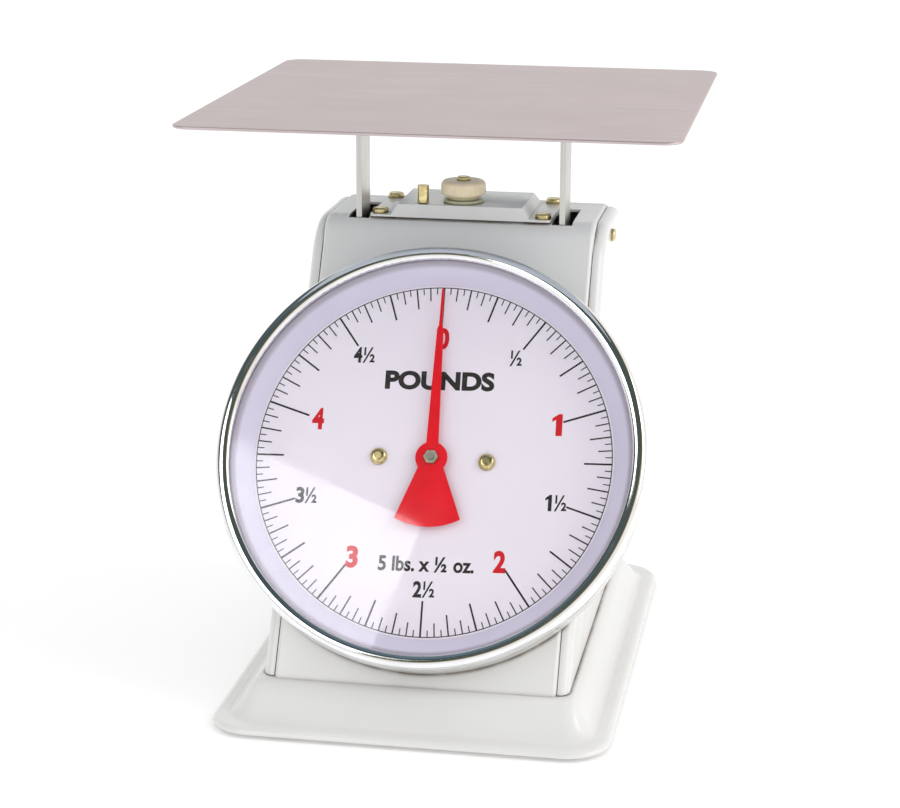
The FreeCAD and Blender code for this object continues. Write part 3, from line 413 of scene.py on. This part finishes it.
# ---- mesh helpers -----------------------------------------------------------------------
def new_piece(name, mesh_data, body, slot, finish=None, sharp=35):
    """Links a mesh as a finished piece that rides on a body, if it is given one.

    The piece wears its slot's material, or another `finish`. Edges over `sharp` degrees stay hard.
    """
    mesh = bpy.data.meshes.new(name)
    mesh_data.normal_update()
    mesh_data.to_mesh(mesh)
    mesh_data.free()
    mesh.shade_smooth()
    mesh.set_sharp_from_angle(angle=math.radians(sharp))
    piece = bpy.data.objects.new(name, mesh)
    bpy.context.scene.collection.objects.link(piece)
    mesh.materials.append(FINISHES[finish or slot])
    if body:
        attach(piece, body)
    return piece


def add_band(mesh_data, low, high):
    """Faces between two closed rows of vertices."""
    count = len(low)
    for index in range(count):
        after = (index + 1) % count
        mesh_data.faces.new((low[index], low[after], high[after], high[index]))


def loft(rings, closed=False):
    """Closed mesh through rings of equal length.

    A closed loft joins its last ring to its first. Any other gets a cap at each end.
    """
    mesh_data = bmesh.new()
    rows = [[mesh_data.verts.new(point) for point in ring] for ring in rings]
    for low, high in zip(rows, rows[1:]):
        add_band(mesh_data, low, high)
    if closed:
        add_band(mesh_data, rows[-1], rows[0])
    else:
        mesh_data.faces.new(rows[0][::-1])
        mesh_data.faces.new(rows[-1])
    bmesh.ops.remove_doubles(mesh_data, verts=mesh_data.verts, dist=1e-7)
    bmesh.ops.recalc_face_normals(mesh_data, faces=mesh_data.faces)
    return mesh_data


def softened(outline, radius, steps=4):
    """A closed outline of (u, v) points with each corner rounded by a curve of `steps` parts."""
    points = []
    count = len(outline)
    for index in range(count):
        corner = Vector(outline[index])
        back = Vector(outline[index - 1]) - corner
        ahead = Vector(outline[(index + 1) % count]) - corner
        room = min(back.length, ahead.length) * 0.45
        reach = min(radius, room)
        start = corner + back.normalized() * reach
        end = corner + ahead.normalized() * reach
        for step in range(steps + 1):
            part = step / steps
            bend = start * (1 - part) ** 2 + corner * 2 * part * (1 - part) + end * part ** 2
            points.append((bend.x, bend.y))
    return points


def turned(outline, place, steps=160, shape=None):
    """Solid of revolution about the place's Z from a closed (radius, height) outline in mm.

    `shape` gives the radius at each radius, height and angle, where the solid isn't quite round.
    """
    rings = []
    for step in range(steps):
        angle = 2 * math.pi * step / steps
        ring = []
        for radius, height in outline:
            if shape:
                radius = shape(radius, height, angle)
            point = Vector((radius * math.cos(angle), radius * math.sin(angle), height))
            ring.append(place @ (point * MM))
        rings.append(ring)
    return loft(rings, closed=True)


def rounded_ring(half, front, back, radius, z, corner_steps=12):
    """Level ring of points round a rectangle with round corners, in mm."""
    points = []
    corners = ((half, back, 0), (-half, back, 90), (-half, front, 180), (half, front, 270))
    for x, y, turn in corners:
        centre_x = x - math.copysign(radius, x)
        centre_y = y - radius if y == back else y + radius
        for step in range(corner_steps + 1):
            angle = math.radians(turn + 90 * step / corner_steps)
            x_mm = centre_x + radius * math.cos(angle)
            y_mm = centre_y + radius * math.sin(angle)
            points.append(Vector((x_mm, y_mm, z)) * MM)
    return points


def box_mm(node):
    """Lowest and highest corners of a CAD node in mm."""
    low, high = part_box(node)
    return Vector(low) / MM, Vector(high) / MM


def softened_copy(node, width):
    """The CAD node's own shape with its hard edges eased by `width` mm, standing for the node."""
    mesh_data = bmesh.new()
    mesh_data.from_mesh(NODES[node].data)
    bmesh.ops.remove_doubles(mesh_data, verts=mesh_data.verts, dist=2e-6)
    bmesh.ops.dissolve_limit(mesh_data, angle_limit=math.radians(0.6), verts=mesh_data.verts,
                             edges=mesh_data.edges)
    piece = new_piece(node + "_finished", mesh_data, NODES[node]["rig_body"], SLOT_OF[node])
    ease = piece.modifiers.new("eased_edges", "BEVEL")
    ease.width = width * MM
    ease.segments = 3
    ease.limit_method = "ANGLE"
    ease.angle_limit = math.radians(40)
    ease.harden_normals = True
    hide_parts(node)


# ---- plinth -------------------------------------------------------------------------------
PLINTH_CORNER_R = 20.0
PLINTH_DROP = 14.3              # from the shoulder by the casing down to the rim
PLINTH_RIM_R = 3.0              # the turn of the edge
PLINTH_SHEET_T = 1.5
SHOULDER_FRONT = -108.9         # where the slope starts, in front of the casing
HEM_W = 13.0                    # the edge is folded in under the plinth
HEM_T = 1.0


def plinth_rings(shrink):
    """Rings from the shoulder down the S curve and round the turned-down edge.

    `shrink` moves them inwards, to the sheet's inner face.
    """
    low, high = box_mm("base_plinth")
    panel_side = box_mm("side_panel_right")[1].x
    casing_rear = box_mm("casing_back")[1].y
    start = (panel_side + 1.0, SHOULDER_FRONT, casing_rear + 1.2, 3.5)
    end = (high.x - PLINTH_RIM_R, low.y + PLINTH_RIM_R, high.y - PLINTH_RIM_R, PLINTH_CORNER_R - PLINTH_RIM_R)
    slope_steps, edge_steps = 44, 8
    slope_share = 0.8               # of the way out, after which the rim runs level
    upright_edge = 0.4
    rings = []
    for step in range(slope_steps + 1):
        part = step / slope_steps
        fall = (1 - math.cos(math.pi * min(part / slope_share, 1.0))) / 2
        half, front, back, radius = [a + (b - a) * part for a, b in zip(start, end)]
        rings.append((half, front, back, radius, high.z - PLINTH_DROP * fall))
    rim_z = high.z - PLINTH_DROP
    for step in range(1, edge_steps + 1):
        bearing = math.radians(90 * step / edge_steps)
        grow = PLINTH_RIM_R * math.sin(bearing)
        sink = (rim_z - low.z - upright_edge) * (1 - math.cos(bearing))
        rings.append((end[0] + grow, end[1] - grow, end[2] + grow, end[3] + grow, rim_z - sink))
    rings.append((high.x, low.y, high.y, PLINTH_CORNER_R, low.z))
    tightest_r = 0.8
    sink_share = 0.8                # the inner face lies less far down than it lies inwards
    points = []
    for half, front, back, radius, z in rings:
        points.append(rounded_ring(half - shrink, front + shrink, back - shrink,
                                   max(radius - shrink, tightest_r), z - shrink * sink_share))
    return points


def make_plinth():
    """The pressed sheet: its outer face, its hem and its inner face, capped under the casing."""
    outer = plinth_rings(0.0)
    inner = plinth_rings(PLINTH_SHEET_T)
    low, high = box_mm("base_plinth")
    fold = 1.6                      # from the outer face to the fold of the hem
    hem = []
    for inset, z in ((HEM_W, low.z), (HEM_W, low.z + HEM_T), (fold, low.z + HEM_T)):
        hem.append(rounded_ring(high.x - inset, low.y + inset, high.y - inset, PLINTH_CORNER_R - inset, z))
    above_hem = (low.z + HEM_T + 0.2) * MM
    kept = [ring for ring in reversed(inner) if ring[0].z > above_hem]
    shell = new_piece("plinth_shell", loft(outer + hem + kept), "root", "white_enamel")
    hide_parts("base_plinth")


# ---- dial case ------------------------------------------------------------------------------
def make_bezel():
    """Rolled chrome ring: inner lip on the lens, flattened crown, skirt over the drum."""
    seat = LENS_OFF + LENS_T + 0.1
    crest_r, crest = 97.2, 14.1
    lip = (2.75, 1.2, 1.9)              # width, fall and fullness of each side of the crown
    shoulder = (3.8, 4.3, 2.4)
    steps = 8
    outline = [(94.3, seat), (94.3, seat + 0.5)]
    for step in range(-steps, steps + 1):
        width, fall, fullness = lip if step < 0 else shoulder
        turn = math.radians(90 * abs(step) / steps)
        across = width * math.sin(turn) ** (2 / fullness)
        rise = fall * max(math.cos(turn), 0.0) ** (2 / fullness)
        outline.append((crest_r + math.copysign(across, step), crest - fall + rise))
    outline += [(101.0, 5.0), (100.85, 4.65), (100.5, 4.6), (99.75, 4.6), (99.75, seat)]
    ring = new_piece("bezel_ring", turned(outline, DIAL_PLACE, 256), "root", "chrome", sharp=50)
    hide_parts("bezel")


def make_dial_case():
    """Drum with its opening at the back, the cone in front of the dial, and the lens."""
    opening_r = 70.0
    back = -8.4
    floor = back + 1.0
    rim = LENS_OFF + LENS_T - 0.1
    drum = [(opening_r, back), (DRUM_R, back), (DRUM_R, rim), (DRUM_INNER_R, rim), (DRUM_INNER_R, floor),
            (opening_r, floor)]
    piece = new_piece("drum_shell", turned(softened(drum, 0.5, 3), DIAL_PLACE, 256), "root", "white_enamel")
    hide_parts("dial_drum")
    rim_r = DRUM_INNER_R - 0.3
    under_flange = LENS_OFF - 1.0
    cone = [(84.8, 0.0), (86.4, 0.0), (95.2, under_flange), (rim_r, under_flange), (rim_r, LENS_OFF),
            (94.2, LENS_OFF)]
    piece = new_piece("surround_cone", turned(softened(cone, 0.6, 4), DIAL_PLACE, 256), "root",
                      "dial_ring_plastic")
    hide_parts("dial_surround")
    front = LENS_OFF + LENS_T
    pane = [(0.0, LENS_OFF), (rim_r, LENS_OFF), (rim_r, front), (0.0, front)]
    eased_rim = softened(pane, 0.3, 2)[3:9]
    flat_r = rim_r - 0.8            # a ring close to the rim keeps the pane's shading flat
    outline = [(0.0, LENS_OFF), (flat_r, LENS_OFF)] + eased_rim + [(flat_r, front), (0.0, front)]
    piece = new_piece("lens_pane", turned(outline, DIAL_PLACE, 256), "root", "clear_lens")
    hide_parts("lens")


# ---- dial print -------------------------------------------------------------------------------
def printed(x, y, height):
    """A point of the print, in mm across the dial and over its face."""
    return DIAL_PLACE @ (PRINT_TWIST @ (Vector((x, y, height)) * MM))


def add_slab(mesh_data, corners):
    """A closed slab of ink over an outline on the dial, given anticlockwise."""
    low = [mesh_data.verts.new(printed(x, y, 0.0)) for x, y in corners]
    high = [mesh_data.verts.new(printed(x, y, INK_T)) for x, y in corners]
    mesh_data.faces.new(high)
    mesh_data.faces.new(low[::-1])
    add_band(mesh_data, low, high)


def add_one(mesh_data, centre, height, stem):
    """The figure 1: a stem with a flag, centred at (x, y), all in scale radii."""
    half = stem / 2
    top = height / 2
    flag_tip = -half - height * 0.17
    outline = [(-half, -top), (half, -top), (half, top), (-half * 0.2, top),
               (flag_tip, height * 0.30), (flag_tip, height * 0.14), (-half, height * 0.24)]
    add_slab(mesh_data, [((centre[0] + x) * SCALE_R, (centre[1] + y) * SCALE_R) for x, y in outline])


def graduation(step):
    """Length and half width in mm of the mark at a half-ounce step.

    The longest stand at the pounds, then come half pounds, quarters, eighths and ounces.
    """
    kinds = ((32, 0.245, 0.46), (16, 0.200, 0.44), (8, 0.155, 0.42), (4, 0.118, 0.34), (2, 0.077, 0.29))
    for every, length, half_width in kinds:
        if step % every == 0:
            return length * SCALE_R, half_width
    return 0.038 * SCALE_R, 0.24


def make_graduations():
    """A mark for each half ounce of 5 lb, and the ring that they stand on."""
    marks = bmesh.new()
    steps = 160
    for step in range(steps):
        angle = 2 * math.pi * step / steps
        length, half = graduation(step)
        along = Vector((math.sin(angle), math.cos(angle)))
        across = Vector((math.cos(angle), -math.sin(angle)))
        corners = []
        for radius, side in ((SCALE_R - length, -1), (SCALE_R - length, 1), (SCALE_R, 1), (SCALE_R, -1)):
            corners.append(tuple(along * radius + across * half * side))
        add_slab(marks, corners[::-1])      # anticlockwise
    new_piece("ink_graduations", marks, "root", "dial_print", "black_ink")
    half_line = 0.22
    inner, outer = SCALE_R - half_line, SCALE_R + half_line
    line = [(inner, 0.0), (outer, 0.0), (outer, INK_T), (inner, INK_T)]
    new_piece("ink_scale_ring", turned(line, DIAL_PLACE, 256), "root", "dial_print", "black_ink")


def text_mesh(text, boldness):
    """Filled text as a closed mesh, before it is sized; boldness thickens its strokes."""
    curve = bpy.data.curves.new("lettering", "FONT")
    curve.body = text
    curve.size = 1.0
    curve.offset = boldness
    curve.extrude = 0.5
    curve.resolution_u = 6
    letters = bpy.data.objects.new("lettering", curve)
    bpy.context.scene.collection.objects.link(letters)
    bpy.context.view_layer.update()
    mesh = bpy.data.meshes.new_from_object(letters.evaluated_get(bpy.context.evaluated_depsgraph_get()))
    bpy.data.objects.remove(letters)
    bpy.data.curves.remove(curve)
    return mesh


def add_text(mesh_data, text, centre, height, width, boldness):
    """Prints text centred at (x, y), in scale radii, fitted to a height and a width."""
    mesh = text_mesh(text, boldness)
    points = [vertex.co for vertex in mesh.vertices]
    low = Vector([min(point[axis] for point in points) for axis in range(3)])
    high = Vector([max(point[axis] for point in points) for axis in range(3)])
    size = high - low
    for vertex in mesh.vertices:
        part = vertex.co - low
        x = centre[0] + (part.x / size.x - 0.5) * width
        y = centre[1] + (part.y / size.y - 0.5) * height
        vertex.co = printed(x * SCALE_R, y * SCALE_R, part.z / size.z * INK_T)
    mesh_data.from_mesh(mesh)
    bpy.data.meshes.remove(mesh)
    bmesh.ops.remove_doubles(mesh_data, verts=mesh_data.verts, dist=1e-7)


def on_ring(ring, number):
    """The place of a number of pounds at a radius, in scale radii: 5 lb is the whole way round."""
    angle = 2 * math.pi * number / 5
    return ring * math.sin(angle), ring * math.cos(angle)


def make_lettering():
    """Red pound numbers, black half-pound numbers, and the generic lines of the dial."""
    pounds = bmesh.new()
    ring, height = 0.70, 0.125
    for number in (0, 2, 3, 4):
        x, y = on_ring(ring, number)
        nudge = 0.014 if number == 0 else 0.0
        add_text(pounds, str(number), (x + nudge, y), height, 0.068, 0.045)
    x, y = on_ring(ring, 1)
    add_one(pounds, (x + 0.030, y), height, 0.036)
    new_piece("ink_pound_numbers", pounds, "root", "dial_print", "red_ink")
    halves = bmesh.new()
    ring, height = 0.735, 0.092
    for number in range(5):
        x, y = on_ring(ring, number + 0.5)
        nudge = 0.028 if number else 0.0
        add_text(halves, "½", (x + nudge, y), height, 0.068, 0.018)
        if number == 1:
            add_one(halves, (x - 0.030, y), height, 0.020)
        elif number > 1:
            add_text(halves, str(number), (x - 0.034, y), height, 0.048, 0.035)
    add_text(halves, "5 lbs. x ½ oz.", (0.005, -0.595), 0.088, 0.534, 0.028)
    add_text(halves, "POUNDS", (0.01, 0.4535), 0.110, 0.62, 0.045)
    new_piece("ink_half_pound_numbers", halves, "root", "dial_print", "black_ink")


# ---- knob and washer ------------------------------------------------------------------------------
def clamped(value):
    return max(0.0, min(1.0, value))


def standing_on(node, centre):
    """The place of a shape that stands at a node's foot, on the axis through centre, in mm."""
    return Matrix.Translation(Vector((centre.x, centre.y, box_mm(node)[0].z)) * MM)


def make_knob():
    """Knob with a waisted foot and fine grooves round its side, and the washer under it."""
    low, high = box_mm("zero_knob")
    centre = (low + high) / 2
    radius = (high.x - low.x) / 2
    tall = high.z - low.z
    bore_r, foot_r = 2.6, 7.7
    flutes = 24
    flute_depth = 0.22

    def flute(r, h, angle):
        """Grooves fade out before the flat top and over the foot."""
        depth = clamped((r - radius + 1.4) / 0.8) * clamped(tall - 0.8 - h)
        return r - flute_depth * depth * (0.5 + 0.5 * math.cos(flutes * angle)) ** 3

    outline = [(bore_r, 0.0), (foot_r, 0.0), (foot_r, 1.3), (9.4, 1.6), (radius, 3.0),
               (radius - 0.25, tall - 1.3), (radius - 1.6, tall), (bore_r, tall)]
    mesh_data = turned(softened(outline, 0.7, 5), standing_on("zero_knob", centre), flutes * 8, flute)
    knob = new_piece("zero_knob_cap", mesh_data, "knob_body", "cream_plastic", sharp=60)
    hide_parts("zero_knob")
    low, high = box_mm("knob_washer")
    outer_r = (high.x - low.x) / 2
    thick = high.z - low.z
    outline = softened([(2.8, 0.0), (outer_r, 0.0), (outer_r, thick), (2.8, thick)], 0.45)
    mesh_data = turned(outline, standing_on("knob_washer", centre))
    washer = new_piece("knob_washer_ring", mesh_data, "root", "washer_plastic")
    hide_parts("knob_washer")


# ---- platform -----------------------------------------------------------------------------------
def make_platform():
    """Flat stainless sheet with rounded corners and rolled edges."""
    low, high = box_mm("platform")
    thick = high.z - low.z
    corner_r = 9.0
    edge_r = thick * 0.45
    flat = 8.0                      # rings here and close to the edge keep the shading flat
    near_edge = edge_r + 0.4
    steps = 6
    profile = [(flat, 0.0), (near_edge, 0.0)]
    for turn, height in ((-90, edge_r), (0, thick - edge_r)):
        for step in range(steps + 1):
            bearing = math.radians(turn + 90 * step / steps)
            inset = edge_r * (1 - math.cos(bearing))
            profile.append((inset, height + edge_r * math.sin(bearing)))
    profile += [(near_edge, thick), (flat, thick)]
    rings = []
    for inset, height in profile:
        rings.append(rounded_ring(high.x - inset, low.y + inset, high.y - inset,
                                  max(corner_r - inset, 0.9), low.z + height))
    sheet = new_piece("platform_sheet", loft(rings), "load_frame", "brushed_stainless")
    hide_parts("platform")


# ---- springs ---------------------------------------------------------------------------------------
SPRING_X = 20.0
COIL_R = 5.5
WIRE_R = 0.72
COIL_BOTTOM, COIL_TOP = 52.0, 186.0
COIL_TURNS = 81


def spring_path(low_z, high_z):
    """Middle line of the wire about the spring's axis: a straight leg, the helix, a straight leg."""
    per_turn = 14
    lead_in = 0.5                   # turns over which the helix opens from the axis
    leg_gap = 3.0
    path = [Vector((0.0, 0.0, low_z)), Vector((0.0, 0.0, COIL_BOTTOM - leg_gap))]
    for step in range(COIL_TURNS * per_turn + 1):
        turn = step / per_turn
        opened = min(1.0, turn / lead_in, (COIL_TURNS - turn) / lead_in)
        radius = COIL_R * math.sin(opened * math.pi / 2)
        angle = 2 * math.pi * turn
        z = COIL_BOTTOM + (COIL_TOP - COIL_BOTTOM) * turn / COIL_TURNS
        path.append(Vector((radius * math.cos(angle), radius * math.sin(angle), z)))
    path += [Vector((0.0, 0.0, COIL_TOP + leg_gap)), Vector((0.0, 0.0, high_z))]
    return path


def make_spring(name, x):
    """Extension spring as one wire, stretched between the root and the load frame."""
    low, high = box_mm(name)
    y = (low.y + high.y) / 2
    axis = Vector((x, y, 0.0))
    path = spring_path(low.z, high.z)
    sides = 8
    rings = []
    for index, point in enumerate(path):
        ahead = path[min(index + 1, len(path) - 1)] - path[max(index - 1, 0)]
        ahead.normalize()
        side = Vector((point.x, point.y, 0))
        if side.length < 0.5:       # on the axis, where any side will do
            side = Vector((1, 0, 0))
        side = (side - ahead * side.dot(ahead)).normalized()
        other = ahead.cross(side)
        ring = []
        for corner in range(sides):
            angle = 2 * math.pi * corner / sides
            outwards = side * math.cos(angle) + other * math.sin(angle)
            ring.append((axis + point + outwards * WIRE_R) * MM)
        rings.append(ring)
    spring = new_piece(name + "_wire", loft(rings), None, "spring_steel", sharp=70)
    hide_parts(name)
    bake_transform(spring)


# ---- CAD nodes that keep their shape -----------------------------------------------------------------
# Those with hard edges in plain sight get them eased, by these widths in mm.
EASED = {
    "upright_left": 0.35, "upright_right": 0.35, "bridge_bracket": 0.45, "platform_channel": 0.3,
    "pointer": 0.2, "travel_stop_screw": 0.3, "pointer_nut": 0.25, "pointer_hub": 0.2,
}


def finish_cad_nodes():
    """Gives each CAD node the material of its slot."""
    for name, node in NODES.items():
        finish = FINISHES[SLOT_OF[name]]
        if not node.material_slots:
            node.data.materials.append(finish)
        for holder in node.material_slots:
            holder.material = finish


# ---- studio ---------------------------------------------------------------------------------------------
def make_floor():
    """White paper under the scale, out to well beyond every view."""
    mesh_data = bmesh.new()
    bmesh.ops.create_grid(mesh_data, x_segments=12, y_segments=12, size=9.0)
    mesh = bpy.data.meshes.new("studio_floor")
    mesh_data.to_mesh(mesh)
    mesh_data.free()
    floor = bpy.data.objects.new("studio_floor", mesh)
    bpy.context.scene.collection.objects.link(floor)
    mesh.materials.append(floor_finish())


def make_camera():
    """The photo's eye: above and to the right of the dial, turned a hair off level."""
    aim = Vector((0.0, -0.01348, 0.12802))
    distance = 1.17188
    azimuth, elevation, roll = [math.radians(angle) for angle in (9.893, 15.739, 0.254)]
    away = Vector((math.sin(azimuth) * math.cos(elevation), -math.cos(azimuth) * math.cos(elevation),
                   math.sin(elevation)))
    level_right = (-away).cross(Vector((0, 0, 1))).normalized()
    level_up = away.cross(level_right)
    right = level_right * math.cos(roll) + level_up * math.sin(roll)
    up = away.cross(right)
    data = bpy.data.cameras.new("camera")
    data.lens = 96.985
    data.sensor_width = 36.0
    data.clip_start = 0.05
    data.clip_end = 60.0
    camera = bpy.data.objects.new("camera", data)
    bpy.context.scene.collection.objects.link(camera)
    camera.matrix_world = (Matrix.Translation(aim + away * distance)
                           @ Matrix((right, up, away)).transposed().to_4x4())
    bpy.context.scene.camera = camera


def add_softbox(name, place, target, width, height, power, lights_matt=True):
    """A rectangular lamp aimed at a target. If it doesn't light matt surfaces, it only shines in gloss."""
    data = bpy.data.lights.new(name, "AREA")
    data.shape = "RECTANGLE"
    data.size = width
    data.size_y = height
    data.energy = power
    light = bpy.data.objects.new(name, data)
    light.visible_diffuse = lights_matt
    bpy.context.scene.collection.objects.link(light)
    place = Vector(place)
    light.location = place
    light.rotation_euler = (place - Vector(target)).to_track_quat("Z", "Y").to_euler()


def make_lights():
    """A soft key on the right, and a window at the left front that glares in the lens."""
    middle = (0.0, 0.0, 0.12)
    lens_middle = (0.0, -0.06, 0.11)
    add_softbox("right_key", (2.6, -0.5, 1.7), middle, 1.6, 1.6, 23)
    add_softbox("left_window", (-0.97, -1.695, 1.325), lens_middle, 1.05, 0.80, 9, lights_matt=False)


def make_world():
    """Studio walls: matt surfaces get an even light, and glossy ones mirror a dark ceiling too."""
    world = bpy.data.worlds.new("studio")
    bpy.context.scene.world = world
    world.use_nodes = True
    world.cycles.sampling_method = "NONE"
    tree = world.node_tree
    background = tree.nodes["Background"]

    def ramp(source, low, high, stops):
        """Colour by a value, with stops from 0 at low to 1 at high."""
        spread = tree.nodes.new("ShaderNodeMapRange")
        spread.inputs["From Min"].default_value = low
        spread.inputs["From Max"].default_value = high
        tree.links.new(source, spread.inputs["Value"])
        colours = tree.nodes.new("ShaderNodeValToRGB")
        tree.links.new(spread.outputs["Result"], colours.inputs["Fac"])
        elements = colours.color_ramp.elements
        while len(elements) < len(stops):
            elements.new(0.5)
        for element, (position, colour) in zip(elements, stops):
            element.position = position
            element.color = colour + (1.0,)
        return colours.outputs["Color"]

    def blend(factor, first, second):
        """Colour from first to second as factor goes from 0 to 1."""
        mixer = tree.nodes.new("ShaderNodeMix")
        mixer.data_type = "RGBA"
        for socket, source in zip(MIX_INPUTS, (factor, first, second)):
            tree.links.new(source, mixer.inputs[socket])
        return mixer.outputs[MIX_RESULT]

    coords = tree.nodes.new("ShaderNodeTexCoord")
    split = tree.nodes.new("ShaderNodeSeparateXYZ")
    tree.links.new(coords.outputs["Generated"], split.inputs[0])
    height = split.outputs["Z"]     # the ceiling comes lower at the left and at the front
    for axis, lean in (("X", -0.25), ("Y", -0.15)):
        leaning = tree.nodes.new("ShaderNodeMath")
        leaning.operation = "MULTIPLY_ADD"
        tree.links.new(split.outputs[axis], leaning.inputs[0])
        leaning.inputs[1].default_value = lean
        tree.links.new(height, leaning.inputs[2])
        height = leaning.outputs["Value"]
    room = ramp(split.outputs["Y"], -1.0, 1.0, [(0.0, (0.96, 0.96, 0.97)), (1.0, (0.92, 0.92, 0.91))])
    wall = ramp(split.outputs["X"], -1.0, 1.0, [(0.0, (0.93, 0.95, 0.98)), (0.5, (0.96, 0.95, 0.94)),
                                                (1.0, (0.98, 0.92, 0.84))])
    ceiling = ramp(height, 0.0, 1.25, [(0.38, (0.0, 0.0, 0.0)), (0.50, (1.0, 1.0, 1.0))])
    upper = ramp(height, 0.0, 1.25, [(0.42, (0.40, 0.33, 0.18)), (0.54, (0.09, 0.09, 0.055)),
                                     (0.74, (0.06, 0.09, 0.10)), (0.92, (0.22, 0.30, 0.36))])
    mirrored = blend(ceiling, wall, upper)
    path = tree.nodes.new("ShaderNodeLightPath")
    tree.links.new(blend(path.outputs["Is Glossy Ray"], room, mirrored), background.inputs["Color"])
    background.inputs["Strength"].default_value = 1.0
    bpy.context.scene.view_settings.view_transform = "Standard"


# ---- build the scene ---------------------------------------------------------------------------------------
make_camera()
make_world()
make_lights()
make_floor()
finish_cad_nodes()
for eased_node, ease_width in EASED.items():
    softened_copy(eased_node, ease_width)
make_plinth()
make_bezel()
make_dial_case()
make_graduations()
make_lettering()
make_knob()
make_platform()
make_spring("spring_left", -SPRING_X)
make_spring("spring_right", SPRING_X)
